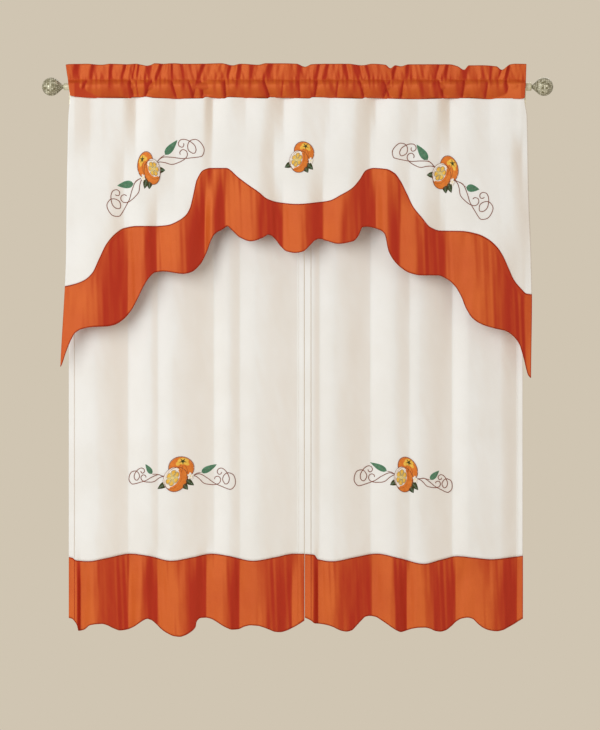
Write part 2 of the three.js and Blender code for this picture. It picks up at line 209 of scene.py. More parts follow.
def colour_mix(tree, share, first, second):
    """Two colours mixed by a share, each a socket or a plain value."""
    node = tree.nodes.new("ShaderNodeMix")
    node.data_type = "RGBA"
    for socket, value in ((node.inputs[0], share), (node.inputs[6], first), (node.inputs[7], second)):
        if isinstance(value, (int, float, tuple)):
            socket.default_value = value
        else:
            tree.links.new(value, socket)
    return node.outputs[2]


def weave_group():
    """Over-and-under threads on a cloth's own UV map, with their height and the dark between."""
    group, given, made = new_group(
        "plain_weave",
        [("Place", "NodeSocketVector"), ("Threads per metre", "NodeSocketFloat", 1500.0)],
        [("Height", "NodeSocketFloat"), ("Gap", "NodeSocketFloat")],
    )
    split = group.nodes.new("ShaderNodeSeparateXYZ")
    group.links.new(given["Place"], split.inputs[0])
    turns = math_node(group, "MULTIPLY", given["Threads per metre"], math.pi)
    warp = math_node(group, "SINE", math_node(group, "MULTIPLY", split.outputs[0], turns))
    weft = math_node(group, "SINE", math_node(group, "MULTIPLY", split.outputs[1], turns))
    over = math_node(group, "MULTIPLY", warp, weft)
    height = math_node(group, "MULTIPLY_ADD", over, 0.5, 0.5)
    group.links.new(height, made["Height"])
    edge = math_node(group, "MULTIPLY", math_node(group, "ABSOLUTE", warp),
                     math_node(group, "ABSOLUTE", weft))
    group.links.new(math_node(group, "SUBTRACT", 1.0, edge), made["Gap"])
    return group


def slub_group():
    """Thick and thin threads: streaks that run along the weft, on a cloth's own UV map."""
    group, given, made = new_group(
        "slub", [("Place", "NodeSocketVector"), ("Length", "NodeSocketFloat", 60.0),
                 ("Width", "NodeSocketFloat", 900.0)],
        [("Streak", "NodeSocketFloat")],
    )
    split = group.nodes.new("ShaderNodeSeparateXYZ")
    group.links.new(given["Place"], split.inputs[0])
    joined = group.nodes.new("ShaderNodeCombineXYZ")
    group.links.new(math_node(group, "MULTIPLY", split.outputs[0], given["Length"]), joined.inputs[0])
    group.links.new(math_node(group, "MULTIPLY", split.outputs[1], given["Width"]), joined.inputs[1])
    noise = group.nodes.new("ShaderNodeTexNoise")
    noise.inputs["Scale"].default_value = 1.0
    noise.inputs["Detail"].default_value = 3.0
    group.links.new(joined.outputs[0], noise.inputs["Vector"])
    group.links.new(noise.outputs["Fac"], made["Streak"])
    return group


def mottle_group():
    """Soft blotches in space, for uneven dye, handling and tarnish."""
    group, given, made = new_group(
        "mottle", [("Place", "NodeSocketVector"), ("Scale", "NodeSocketFloat", 20.0)],
        [("Blotch", "NodeSocketFloat")],
    )
    noise = group.nodes.new("ShaderNodeTexNoise")
    noise.inputs["Detail"].default_value = 4.0
    group.links.new(given["Place"], noise.inputs["Vector"])
    group.links.new(given["Scale"], noise.inputs["Scale"])
    spread = group.nodes.new("ShaderNodeMapRange")
    spread.inputs["From Min"].default_value = 0.35
    spread.inputs["From Max"].default_value = 0.65
    group.links.new(noise.outputs["Fac"], spread.inputs["Value"])
    group.links.new(spread.outputs[0], made["Blotch"])
    return group


GROUPS = {"weave": weave_group(), "slub": slub_group(), "mottle": mottle_group()}


class Finish:
    """A material being wired: its tree, its Principled shader and the nodes it is fed from."""

    def __init__(self, name, **plain):
        self.material = bpy.data.materials.new(name)
        self.material.use_nodes = True
        self.tree = self.material.node_tree
        self.shader = next(n for n in self.tree.nodes if n.type == "BSDF_PRINCIPLED")
        for key, value in plain.items():
            self.shader.inputs[key.replace("_", " ")].default_value = value
        self.coordinates = self.tree.nodes.new("ShaderNodeTexCoord")

    def effect(self, kind, place, **values):
        node = self.tree.nodes.new("ShaderNodeGroup")
        node.node_tree = GROUPS[kind]
        self.tree.links.new(self.coordinates.outputs[place], node.inputs["Place"])
        for key, value in values.items():
            node.inputs[key.replace("_", " ")].default_value = value
        return node.outputs

    def bump(self, height, distance, strength, under=None):
        node = self.tree.nodes.new("ShaderNodeBump")
        node.inputs["Distance"].default_value = distance
        node.inputs["Strength"].default_value = strength
        self.tree.links.new(height, node.inputs["Height"])
        if under:
            self.tree.links.new(under, node.inputs["Normal"])
        return node.outputs[0]

    def feed(self, socket, value):
        self.tree.links.new(value, self.shader.inputs[socket])


def cloth_finish(name, light, dark, threads, slub, sheen, sheen_tint, roughness, lustre, painted_shade=None):
    """Woven cloth: threads, thick and thin wefts, uneven dye, a soft bloom and a satin's lustre.

    Where the cloth turns to the right, away from the key light on the left, its colour is mixed towards a darker
    second colour: painted shade on that side of each fold.
    """
    made = Finish(name, Roughness=roughness, Sheen_Weight=sheen, Sheen_Roughness=0.45,
                  Sheen_Tint=sheen_tint, Specular_IOR_Level=0.2 if lustre else 0.3,
                  Metallic=lustre)
    tree = made.tree
    weave = made.effect("weave", "UV", Threads_per_metre=threads)
    streak = made.effect("slub", "UV")["Streak"]
    blotch = made.effect("mottle", "Object", Scale=9.0)["Blotch"]
    base = colour_mix(tree, math_node(tree, "MULTIPLY", blotch, 0.35), light, dark)
    if painted_shade:
        # Painted shade: the colour goes towards the second colour (held in warp, which is no woven thread) where
        # the surface normal points to the right, away from the key light.
        turned = tree.nodes.new("ShaderNodeSeparateXYZ")
        tree.links.new(tree.nodes.new("ShaderNodeNewGeometry").outputs["Normal"], turned.inputs[0])
        warp, gain, start = painted_shade
        share = math_node(tree, "MULTIPLY_ADD", turned.outputs[0], gain, start)
        share.node.use_clamp = True
        base = colour_mix(tree, share, base, warp)
    streaked = colour_mix(tree, math_node(tree, "MULTIPLY", streak, slub), base, dark)
    shade = math_node(tree, "MULTIPLY", weave["Gap"], 0.12)
    made.feed("Base Color", colour_mix(tree, shade, streaked, dark))
    coarse = made.bump(streak, 0.0003, 0.25)
    made.feed("Normal", made.bump(weave["Height"], 0.00012, 0.5, coarse))
    made.feed("Roughness", math_node(tree, "MULTIPLY_ADD", streak, 0.12, roughness - 0.06))
    return made.material


def thread_finish(name, light, dark, pitch, roughness=0.5):
    """Rows of laid thread on the piece's own UV map."""
    made = Finish(name, Roughness=roughness, Specular_IOR_Level=0.04)
    tree = made.tree
    split = tree.nodes.new("ShaderNodeSeparateXYZ")
    tree.links.new(made.coordinates.outputs["UV"], split.inputs[0])
    turned = math_node(tree, "MULTIPLY", split.outputs[0], 2 * math.pi / pitch)
    row = math_node(tree, "MULTIPLY_ADD", math_node(tree, "SINE", turned), 0.5, 0.5)
    blotch = made.effect("mottle", "Object", Scale=180.0)["Blotch"]
    uneven = colour_mix(tree, math_node(tree, "MULTIPLY", blotch, 0.5), light, dark)
    made.feed("Base Color", colour_mix(tree, math_node(tree, "MULTIPLY", row, 0.35), uneven, dark))
    made.feed("Normal", made.bump(row, 0.00006, 0.5))
    return made.material


def metal_finish(name, light, dark, roughness, metallic=1.0):
    """Metal with tarnish in soft blotches and a fine brushed grain."""
    made = Finish(name, Metallic=metallic, Roughness=roughness)
    tree = made.tree
    blotch = made.effect("mottle", "Object", Scale=40.0)["Blotch"]
    grain = tree.nodes.new("ShaderNodeTexNoise")
    grain.inputs["Scale"].default_value = 900.0
    grain.inputs["Detail"].default_value = 2.0
    tree.links.new(made.coordinates.outputs["Object"], grain.inputs["Vector"])
    made.feed("Base Color", colour_mix(tree, math_node(tree, "MULTIPLY", blotch, 0.6), light, dark))
    made.feed("Roughness", math_node(tree, "MULTIPLY_ADD", blotch, 0.18, roughness - 0.05))
    made.feed("Normal", made.bump(grain.outputs["Fac"], 0.00005, 0.3))
    return made.material


def mosaic_finish():
    """Pewter-green chips, each a little lighter or darker, set in dark grout."""
    made = Finish("finial_mosaic", Roughness=0.35, Metallic=0.3, Coat_Weight=0.3)
    tree = made.tree
    tone = tree.nodes.new("ShaderNodeAttribute")
    tone.attribute_name = "chip_tone"
    edge = tree.nodes.new("ShaderNodeAttribute")
    edge.attribute_name = "chip_face"
    chips = colour_mix(tree, tone.outputs["Fac"], linear(134, 128, 92), linear(252, 250, 222))
    blotch = made.effect("mottle", "Object", Scale=260.0)["Blotch"]
    stained = colour_mix(tree, math_node(tree, "MULTIPLY", blotch, 0.25), chips, linear(84, 78, 44))
    made.feed("Base Color", colour_mix(tree, edge.outputs["Fac"], linear(46, 38, 16), stained))
    made.feed("Metallic", math_node(tree, "MULTIPLY", edge.outputs["Fac"], 0.3))
    made.feed("Roughness", math_node(tree, "MULTIPLY_ADD", edge.outputs["Fac"], -0.45, 0.8))
    return made.material


# The last value of each cloth is its painted shade: a darker colour and how fast it comes in where the cloth turns
# to the right, away from the key light.
CREAM = cloth_finish("cream_cotton", linear(241, 243, 242), linear(228, 226, 219), 1500.0, 0.12,
                     0.08, linear(255, 253, 248), 0.85, 0.0, (linear(238, 228, 215), 2.2, 0.04))
ORANGE = cloth_finish("orange_taffeta", linear(212, 105, 38), linear(184, 66, 28), 1900.0, 0.3,
                      0.0, linear(255, 170, 120), 0.5, 0.12, (linear(190, 50, 28), 2.0, 0.36))
EDGE_THREAD = thread_finish("rust_edge_thread", linear(178, 58, 26), linear(134, 40, 18), 0.0011, 0.85)
CREAM_THREAD = thread_finish("cream_stitch_thread", linear(242, 238, 230), linear(220, 212, 198), 0.0006)
# The embroidery's threads: each colour's material name, its light and dark, and its pitch.
STITCHES = {
    "brown": ("rust_brown_stitch", (150, 84, 62), (104, 54, 40), 0.0005),
    "orange": ("orange_stitch", (232, 140, 62), (204, 100, 40), 0.0011),
    "gold": ("gold_stitch", (244, 202, 92), (226, 166, 60), 0.0009),
    "white": ("white_stitch", (250, 245, 236), (226, 214, 196), 0.0009),
    "yellow": ("pale_yellow_stitch", (248, 236, 176), (234, 212, 130), 0.0009),
    "umber": ("umber_stitch", (150, 100, 48), (108, 68, 32), 0.0009),
    "olive": ("olive_stitch", (76, 80, 48), (44, 50, 26), 0.0009),
    "green": ("leaf_green_stitch", (98, 146, 116), (54, 96, 70), 0.0009),
    "pale_green": ("pale_green_stitch", (132, 158, 134), (92, 120, 96), 0.0009),
}
THREADS = {
    colour: thread_finish(name, linear(*light), linear(*dark), pitch)
    for colour, (name, light, dark, pitch) in STITCHES.items()
}
PEWTER = metal_finish("pewter", linear(244, 242, 214), linear(190, 186, 150), 0.3, metallic=0.6)
STEEL = metal_finish("screw_steel", linear(178, 178, 176), linear(120, 120, 120), 0.36)
MOSAIC = mosaic_finish()


# ---- Building ----
def mesh_from(shape, name):
    """A shape as a mesh of its own, which uses the shape up."""
    mesh = bpy.data.meshes.new(name)
    shape.to_mesh(mesh)
    shape.free()
    return mesh


def in_scene(name, data):
    """A new object in the scene."""
    obj = bpy.data.objects.new(name, data)
    bpy.context.scene.collection.objects.link(obj)
    return obj


def lay_uv(uv, flat):
    """Gives each face corner at some vertices its place on the cloth's own map."""
    for face in {f for vert in flat for f in vert.link_faces}:
        for corner in face.loops:
            corner[uv].uv = flat[corner.vert]


def wrapped(shape, uv, rings, flat_at):
    """A grid laid over rings of points, with flat_at(ring, place) as its map. Returns its vertices."""
    count, sides = len(rings) - 1, len(rings[0]) - 1
    verts = bmesh.ops.create_grid(shape, x_segments=count, y_segments=sides, size=0.5)["verts"]
    flat = {}
    for vert in verts:
        i, j = round((vert.co.x + 0.5) * count), round((vert.co.y + 0.5) * sides)
        vert.co = rings[i, j]
        flat[vert] = flat_at(i, j)
    lay_uv(uv, flat)
    return verts


def piece(name, mesh, material, body, replaces=()):
    """A finished mesh as a named piece on a body."""
    mesh.materials.append(material)
    obj = in_scene(name, mesh)
    for polygon in mesh.polygons:
        polygon.use_smooth = True
    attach(obj, body)
    if replaces:
        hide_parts(*replaces)
    return obj


def grid_points(mesh):
    """Shares across (left to right) and down (top to bottom) of a plain grid's corners."""
    flat = np.empty(len(mesh.vertices) * 3)
    mesh.vertices.foreach_get("co", flat)
    flat = flat.reshape(-1, 3)
    return flat[:, 0] + 0.5, 0.5 - flat[:, 1]


def sheet_mesh(name, columns, rows, place, loop=False):
    """A grid put in place by a function of the shares across and down, with its cloth UV map.

    place gives the corners in metres. A loop's first and last rows meet and are merged.
    """
    shape = bmesh.new()
    bmesh.ops.create_grid(shape, x_segments=columns, y_segments=rows, size=0.5)
    mesh = mesh_from(shape, name)
    across, down = grid_points(mesh)
    points = place(across, down)
    mesh.vertices.foreach_set("co", points.ravel())
    order = np.lexsort((np.round(across, 6), np.round(down, 6)))
    ordered = points[order].reshape(rows + 1, columns + 1, 3)
    along = np.linalg.norm(np.diff(ordered, axis=1), axis=2)
    length = np.linalg.norm(np.diff(ordered, axis=0), axis=2)
    u = np.concatenate([np.zeros((rows + 1, 1)), np.cumsum(along, axis=1)], axis=1)
    v = np.concatenate([np.zeros((1, columns + 1)), np.cumsum(length, axis=0)], axis=0)
    # The map: across, from the middle column, and down, each measured along the cloth between corners.
    u -= u[:, [columns // 2]]
    flat = np.empty((len(points), 2))
    flat[order, 0] = u.ravel()
    flat[order, 1] = -v.ravel()
    layer = mesh.uv_layers.new(name="cloth")
    corner = np.empty(len(mesh.loops), int)
    mesh.loops.foreach_get("vertex_index", corner)
    layer.data.foreach_set("uv", flat[corner].ravel())
    if loop:
        shape = bmesh.new()
        shape.from_mesh(mesh)
        bmesh.ops.remove_doubles(shape, verts=shape.verts, dist=1e-6)
        shape.to_mesh(mesh)
        shape.free()
    mesh.update()
    return mesh


def give_thickness(obj, millimetres=CLOTH):
    """Makes a sheet solid, away from its visible side."""
    wall = obj.modifiers.new("thickness", "SOLIDIFY")
    wall.thickness = millimetres * MM
    wall.offset = -1.0
    return wall


class Drape:
    """A hanging cloth's shape: how far each place on it stands out from the plane of its rod."""

    def __init__(self, plane, top, hem, levels, wrinkle, seed, seam=None, over=None):
        self.plane, self.top, self.hem = plane, top, hem
        self.levels, self.wrinkle, self.seed = levels, wrinkle, seed
        self.seam, self.over = seam, over

    def rise(self, x, z):
        depth = np.clip((self.top - z) / (self.top - self.hem(x)), 0, 1)
        heights = [ridges(folds, x - lean * (z - self.top)) for _, lean, folds in self.levels]
        out = heights[0]
        for (low, _, _), (high, _, _), after in zip(self.levels, self.levels[1:], heights[1:]):
            share = ease((depth - low) / (high - low))
            out = out + (after - out) * share
        fine = wander(x, z, 26, 70, self.seed) * self.wrinkle
        finer = wander(x + 0.3 * z, z, 11, 24, self.seed + 1) * self.wrinkle * 0.35
        out = out + fine + finer
        if self.seam:
            # The band is stiffer, so it also breaks into fine upright creases.
            crisp = wander(x + 0.04 * z, z, 5.5, 160, self.seed + 2) * 0.55
            crisp += wander(x - 0.06 * z, z, 13, 90, self.seed + 3) * 0.7
            out = out + crisp * ease((self.seam(x) - z) / 12 + 0.5)
        if self.over:
            share = self.over(x, z)
            out = out + (BRACKET_CLEAR - out) * share
        return out

    def on_cloth(self, x, z, lift=0.0):
        """Places in the frame, in metres, for places on the cloth in millimetres."""
        return np.stack([x, self.plane - self.rise(x, z) - lift, z], axis=-1) * MM


def tube_points(path, wide, tall, sides, closed_ends=True):
    """Rings of points round a path that lies on a cloth facing the room, all in metres."""
    along = np.gradient(path, axis=0)
    along /= np.linalg.norm(along, axis=1, keepdims=True) + 1e-12
    out = np.array([0.0, -1.0, 0.0])
    side = np.cross(along, out)
    side /= np.linalg.norm(side, axis=1, keepdims=True) + 1e-12
    up = np.cross(side, along)
    angle = np.linspace(0, 2 * math.pi, sides + 1)
    wide = np.broadcast_to(wide, len(path)).copy()
    tall = np.broadcast_to(tall, len(path)).copy()
    if closed_ends:
        wide[[0, -1]] = tall[[0, -1]] = 0
    return (
        path[:, None]
        + side[:, None] * np.cos(angle)[None, :, None] * wide[:, None, None]
        + up[:, None] * np.sin(angle)[None, :, None] * tall[:, None, None]
    )


def thread_mesh(name, paths, wide, tall, sides=6, ripple=0.0, pitch=2.2 * MM):
    """Threads laid along paths: each ring swells and shrinks with the stitches."""
    whole = bmesh.new()
    uv = whole.loops.layers.uv.new("cloth")
    for path in paths:
        run = np.concatenate([[0], np.cumsum(np.linalg.norm(np.diff(path, axis=0), axis=1))])
        swell = 1 + ripple * np.sin(run * 2 * math.pi / pitch)
        rings = tube_points(path, wide * swell, tall * swell, sides)
        wrapped(whole, uv, rings, lambda i, j: (run[i], j / sides * 2 * math.pi * tall))
    bmesh.ops.remove_doubles(whole, verts=whole.verts, dist=1e-7)
    bmesh.ops.recalc_face_normals(whole, faces=whole.faces)
    return mesh_from(whole, name)


# ---- The valance ----
SWAG_SEAM = [
    (-480, -404), (-438, -395), (-418, -387), (-403, -373), (-390, -344), (-377, -316), (-359, -294),
    (-342, -283), (-318, -279), (-280, -279), (-256, -277), (-236, -269), (-221, -258), (-212, -243),
    (-205, -214), (-199, -187), (-186, -167), (-172, -163), (-142, -163), (-117, -182), (-97, -197),
    (-77, -211), (-61, -224), (-40, -231), (0, -235), (43, -231), (63, -228), (85, -217), (108, -203),
    (122, -187), (136, -167), (150, -163), (175, -165), (191, -173), (201, -186), (215, -214),
    (227, -240), (243, -261), (260, -281), (279, -288), (322, -289), (353, -295), (371, -304),
    (387, -318), (399, -336), (411, -364), (420, -385), (433, -402), (446, -414), (480, -417),
]
SWAG_HEM = [
    (-480, -567), (-462, -566), (-455, -557), (-447, -530), (-438, -504), (-431, -491), (-418, -483),
    (-397, -479), (-371, -478), (-356, -475), (-339, -464), (-324, -445), (-314, -425), (-303, -400),
    (-292, -381), (-280, -370), (-265, -368), (-224, -373), (-210, -370), (-192, -354), (-180, -331),
    (-171, -306), (-163, -293), (-148, -284), (-139, -278), (-128, -287), (-114, -300), (-92, -308),
    (-69, -301), (-58, -295), (-51, -297), (-42, -306), (-32, -319), (-21, -328), (-4, -331),
    (11, -328), (24, -316), (34, -306), (43, -303), (57, -307), (80, -313), (108, -308), (118, -298),
    (127, -280), (136, -279), (161, -285), (171, -294), (178, -327), (188, -346), (200, -359),
    (218, -371), (240, -376), (273, -376), (292, -384), (307, -398), (319, -419), (328, -442),
    (341, -462), (359, -474), (384, -482), (405, -487), (420, -497), (433, -514), (442, -542),
    (452, -577), (466, -587), (480, -588),
]
# How far the valance stands out, as (across, height) at its header, its middle and its hem.
SWAG_TOP_FOLDS = [
    (-475, 0), (-451, 2), (-415, -2), (-387, 3), (-351, 5), (-323, -5), (-291, 4), (-243, -1),
    (-189, 5), (-169, -5), (-137, 4), (-103, 0), (-67, 6), (-27, -6), (11, 4), (65, 0), (113, 6),
    (157, -7), (201, 5), (241, 1), (277, 5), (305, -6), (345, 5), (385, 2), (423, 5), (449, -4),
    (469, 0),
]
SWAG_MIDDLE_FOLDS = [
    (-475, 0), (-379, 3), (-347, -3), (-315, 3), (-245, -2), (-195, 2), (-171, -2), (-115, 1),
    (-79, 3), (-47, -3), (5, 3), (55, -1), (105, 4), (145, -4), (189, 3), (225, -1), (255, 2),
    (285, -3), (335, 3), (405, 2), (429, 3), (465, -4),
]
SWAG_HEM_FOLDS = [
    (-475, -5), (-405, 8), (-339, -8), (-309, 5), (-281, -4), (-229, 8), (-185, -7), (-171, 4),
    (-145, -5), (-83, 8), (-29, -8), (15, 6), (51, -5), (91, 8), (157, -9), (179, 4), (205, -4),
    (237, 7), (297, -8), (389, 8), (455, -8), (475, -6),
]
BRACKET_IN = 446  # from here outwards the valance hangs in front of the bracket
BRACKET_CLEAR = 12.6  # how far the cloth stands forward there
BRACKET_RAMP = 84  # width over which it comes forward
HEADER_LAP = 1.6  # how much further the header stands forward than the panel, which it overlaps


def drawn(points):
    """A drawn outline of the valance, at the frame's own size."""
    return [(x * SWAG_WIDE, z * SWAG_DEEP) for x, z in points]


def swag_seam(x):
    return smooth_line(drawn(SWAG_SEAM), x)


def swag_hem(x):
    return smooth_line(drawn(SWAG_HEM), x)


def over_bracket(x, z):
    """How much the valance's sides come forward, where they pass the ends of the brackets."""
    outside = np.clip((np.abs(x) - BRACKET_IN * SWAG_WIDE + BRACKET_RAMP) / BRACKET_RAMP, 0, 1)
    return outside**1.5 * (1 - ease((-z - 68) / 80))


SWAG_TOP = swag_header_low.z
swag = Drape(
    FRONT_ROD_Y, SWAG_TOP, swag_hem,
    [(0.0, 0.0, SWAG_TOP_FOLDS), (0.45, 0.0, SWAG_MIDDLE_FOLDS), (0.82, 0.0, SWAG_HEM_FOLDS)],
    wrinkle=0.5, seed=3, seam=swag_seam, over=over_bracket,
)


def swag_half_width(z, side):
    """How far the valance's side stands from the middle, at a height."""
    left = [(-600, 476), (-567, 475), (-327, 463), (-227, 462), (-60, 458), (-23, 455), (60, 463)]
    right = [(-600, 467), (-587, 467), (-427, 469), (-327, 467), (-227, 463), (-60, 459), (-23, 454),
             (60, 458)]
    return smooth_line(right if side > 0 else left, z) * SWAG_WIDE


def flared(x, z):
    """A place on the valance, moved sideways so that its sides flare."""
    share = x / SWAG_HALF_WIDTH
    width = np.where(x < 0, swag_half_width(z, -1), swag_half_width(z, 1))
    return share * width


def swag_between(upper, lower):
    """A place function for cloth between two of the valance's lines."""
    def place(across, down):
        x = (across - 0.5) * 2 * SWAG_HALF_WIDTH
        top, bottom = upper(x), lower(x)
        z = top + (bottom - top) * down
        x = flared(x, z)
        return swag.on_cloth(x, z)
    return place


SWAG_POCKET_BOTTOM = [
    (-470, -19), (-435, -21.5), (-400, -23.5), (-340, -24), (-332, -21.3), (-305, -21), (-288, -23.5),
    (-225, -24.8), (-190, -24.5), (-184, -21.5), (-146, -24.5), (-141, -22), (-60, -24.5),
    (-55, -22), (24, -24.5), (30, -22), (130, -25), (136, -22.5), (200, -25.5), (236, -26),
    (285, -25), (298, -23.5), (340, -24), (387, -26), (400, -24.5), (470, -25),
]


def panel_top(x):
    """The panel starts just inside the lower edge of the pocket."""
    return smooth_line(SWAG_POCKET_BOTTOM, x) + 0.8


swag_panel = piece(
    "valance_panel",
    sheet_mesh("valance_panel", 380, 100, swag_between(panel_top, swag_seam)),
    CREAM, "swag", ["swag_panel"],
)
swag_border = piece(
    "valance_border",
    sheet_mesh("valance_border", 460, 44, swag_between(swag_seam, swag_hem)),
    ORANGE, "swag", ["swag_border"],
)
for cloth in (swag_panel, swag_border):
    give_thickness(cloth)


def swag_edge(line, lift):
    """The path of a thread along one of the valance's lines."""
    x = np.linspace(-1, 1, 1900) * SWAG_HALF_WIDTH
    z = line(x)
    return swag.on_cloth(flared(x, z), z, lift)


def evenly(path, step):
    """A path again, with its points evenly spaced."""
    run = np.concatenate([[0], np.cumsum(np.linalg.norm(np.diff(path, axis=0), axis=1))])
    at = np.linspace(0, run[-1], max(3, int(run[-1] / step)))
    return np.stack([np.interp(at, run, path[:, k]) for k in range(3)], axis=1)


for name, line in (("valance_upper_edge", swag_seam), ("valance_hem_edge", swag_hem)):
    path = evenly(swag_edge(line, 0.2), 0.6 * MM)
    mesh = thread_mesh(name, [path], 0.85 * MM, 0.7 * MM, ripple=0.16)
    piece(name, mesh, EDGE_THREAD, "swag")


# ---- Headers ----
def header_mesh(name, rod_y, rod_radius, sides, back, tops, stitch, bottoms, gathers, tucks, seed,
                columns):
    """A gathered ruffle over a pocket round the rod: one cloth folded over at its top edge.

    sides gives the left and right edge at a height, back the half width of the layer behind the rod,
    and tops and bottoms the two edges. gathers is a row of (across, height) folds in the ruffle.
    tucks lists (across at the stitches, across at the bottom, depth) creases in the pocket.
    """
    loose = rod_radius + 4.8  # half the pocket's thickness at its fullest
    clear = rod_radius + 0.6  # and where it lies on the rod

    def pocket(z, low):
        """Half the thickness of the pocket, round the rod."""
        above = np.clip((z - 2) / (stitch - 2), 0, 1)
        below = np.clip((2 - z) / (2 - low), 0, 1)
        return 1.0 + (loose - 1.0) * (1 - np.maximum(above, below) ** 2.0)

    def tucked(x, z):
        """How far the creases are drawn in: steep on their left side, long on their right."""
        total = np.zeros_like(x)
        for top, bottom, depth in tucks:
            place = top + (bottom - top) * np.clip((stitch - z) / (stitch + 23), -0.2, 1)
            away = x - place
            total = total + depth * np.where(away < 0, np.exp(away / 3.2), np.exp(-away / 9))
        return total

    def place(across, down):
        share = np.abs(1 - 2 * down)
        front = down < 0.5
        nominal = sides(0.0)
        x = nominal[0] + (nominal[1] - nominal[0]) * across
        top = smooth_line(tops, x)
        low = smooth_line(bottoms, x)
        z = low + (top - low) * share
        left, right = sides(z)
        x = left + (right - left) * across
        behind = back + (np.maximum(np.abs(left), np.abs(right)) - back) * ease((z - stitch) / 6)
        x = np.where(~front, np.clip(x, -behind, behind), x) if back else x
        # The folds fan out from the stitches, and small puckers die away on both sides of them.
        fanned = x - wander(x, z * 0, 34, 9, seed + 6) * 0.42 * np.maximum(z - stitch, 0)
        gather = ridges(gathers, fanned, 0.25) + wander(fanned, z * 0, 7, 9, seed) * 0.9
        pucker = wander(x, z * 0, 4.4, 9, seed + 7) + 0.6 * wander(x + 0.4 * z, z, 7, 14, seed + 8)
        pucker = pucker * 1.5 * np.exp(-np.abs(z - stitch) / 7)
        in_ruffle = np.clip((z - stitch) / (top - stitch), 0, 1)
        at_stitch = np.exp(-((z - stitch) / 2.2) ** 2)
        fold = gather * (0.45 + 0.55 * ease(in_ruffle)) + wander(x + 0.2 * z, z, 6, 24, seed + 3) * 0.7
        fold = (fold + pucker) * (1 - 0.75 * at_stitch)
        crease = wander(x + 0.15 * z, z, 9, 30, seed + 4) * 0.9 + wander(x, z, 24, 60, seed + 5) * 2.0
        crease = crease + pucker + gather * 0.3 * ease((z + 12) / 24)
        within = np.clip((stitch - z) / 5, 0, 1) * np.clip((z - low) / 6, 0.15, 1)
        puffed = pocket(z, low) + (crease - tucked(x, z)) * within
        upright = np.sqrt(np.maximum(0, clear**2 - z * z))
        thick = np.where(z > stitch, 0.9 + 0.9 * in_ruffle, np.maximum(np.maximum(puffed, upright), 0.9))
        thick = np.where(front, thick, np.where(z > stitch, thick, np.maximum(pocket(z, low), upright)))
        thick = thick * np.where(share > 0.999, 0, 1) * np.where(share < 0.001, 0, 1)
        sideways = np.where(front, -1, 1) * thick
        outward = np.where(z > stitch - 2, fold, 0)
        if back:
            outside = np.clip((np.abs(x) - back + BRACKET_RAMP) / BRACKET_RAMP, 0, 1)
            ahead = (BRACKET_CLEAR + HEADER_LAP) * outside**1.5 * (1 - ease((z - 6) / 8))
            sideways = np.where(front | (share < 0.001), np.minimum(sideways, -ahead), sideways)
        return np.stack([x, rod_y - outward + sideways, z], axis=-1) * MM

    return sheet_mesh(name, columns, 68, place, loop=True)


def swag_header_sides(z):
    """The left and right edge of the valance's header: it flares a little towards the top."""
    left = np.interp(z, [-23, 45], [-454, -464])
    right = np.interp(z, [-23, 14, 45], [454, 456.5, 457.5])
    return left * SWAG_WIDE, right * SWAG_WIDE


# The shaded side of each gather in the ruffle: (crest, valley, height) from left to right.
SWAG_GATHERS = [
    (-453, -441, 6), (-418, -411, 5), (-380, -373, 4), (-356, -351, 3), (-334, -330, 2.5),
    (-326, -320, 3.5), (-307, -296, 5), (-286, -280, 4), (-254, -249, 4), (-231, -226, 2.5),
    (-202, -195, 5), (-147, -140, 4), (-125, -115, 5), (-99, -92, 4), (-73, -59, 5.5), (-5, 5, 4),
    (33, 39, 3.5), (49, 57, 4), (95, 104, 4), (113, 131, 6), (141, 147, 3.5), (187, 192, 5),
    (211, 223, 5.5), (271, 276, 3), (289, 297, 5), (327, 339, 6), (384, 388, 3), (398, 402, 2.5),
    (411, 421, 5),
]
SWAG_TUCKS = [
    (-448, -435, 5), (-420, -436, 5), (-334, -327, 7), (-322, -317, 3.5), (-289, -306, 6),
    (-252, -241, 4.5), (-218, -206, 3.5), (-200, -208, 3), (-193, -187, 7), (-145, -143, 6),
    (-67, -55, 6), (-28, -31, 3), (3, 6, 3), (41, 35, 5), (82, 78, 3), (125, 134, 6), (187, 172, 4),
    (172, 186, 4), (213, 208, 6), (283, 294, 8), (335, 330, 5), (382, 376, 3), (419, 423, 6.5),
]
SWAG_RUFFLE_TOP = [
    (-470, 39), (-452, 45), (-418, 46), (-386, 44), (-368, 46), (-336, 45), (-318, 46), (-307, 44),
    (-297, 42), (-288, 44), (-281, 47), (-264, 46), (-243, 47), (-225, 46), (-197, 46), (-150, 47),
    (-126, 43), (-110, 46), (-76, 44), (-60, 47), (-37, 47), (0, 46), (17, 40), (30, 45), (60, 46),
    (100, 46), (131, 43), (150, 46), (176, 44), (186, 37), (196, 43), (207, 41), (223, 45),
    (267, 45), (303, 45), (319, 41), (332, 34), (342, 43), (365, 43), (396, 41), (407, 34),
    (424, 45), (433, 46), (470, 45),
]


def fold_row(gathers):
    """Crests and valleys in a row, as (across, height)."""
    row = []
    for crest, valley, height in gathers:
        row.append((crest, height / 2))
        row.append((valley, -height / 2))
    return [(row[0][0] - 20, -1)] + row + [(row[-1][0] + 40, 3)]


swag_header = piece(
    "valance_header",
    header_mesh("valance_header", FRONT_ROD_Y, FRONT_ROD_RADIUS, swag_header_sides,
                BRACKET_IN * SWAG_WIDE, SWAG_RUFFLE_TOP, 14.0, SWAG_POCKET_BOTTOM,
                fold_row(SWAG_GATHERS), SWAG_TUCKS, 11, 700),
    ORANGE, "swag", ["swag_header"],
)
give_thickness(swag_header)


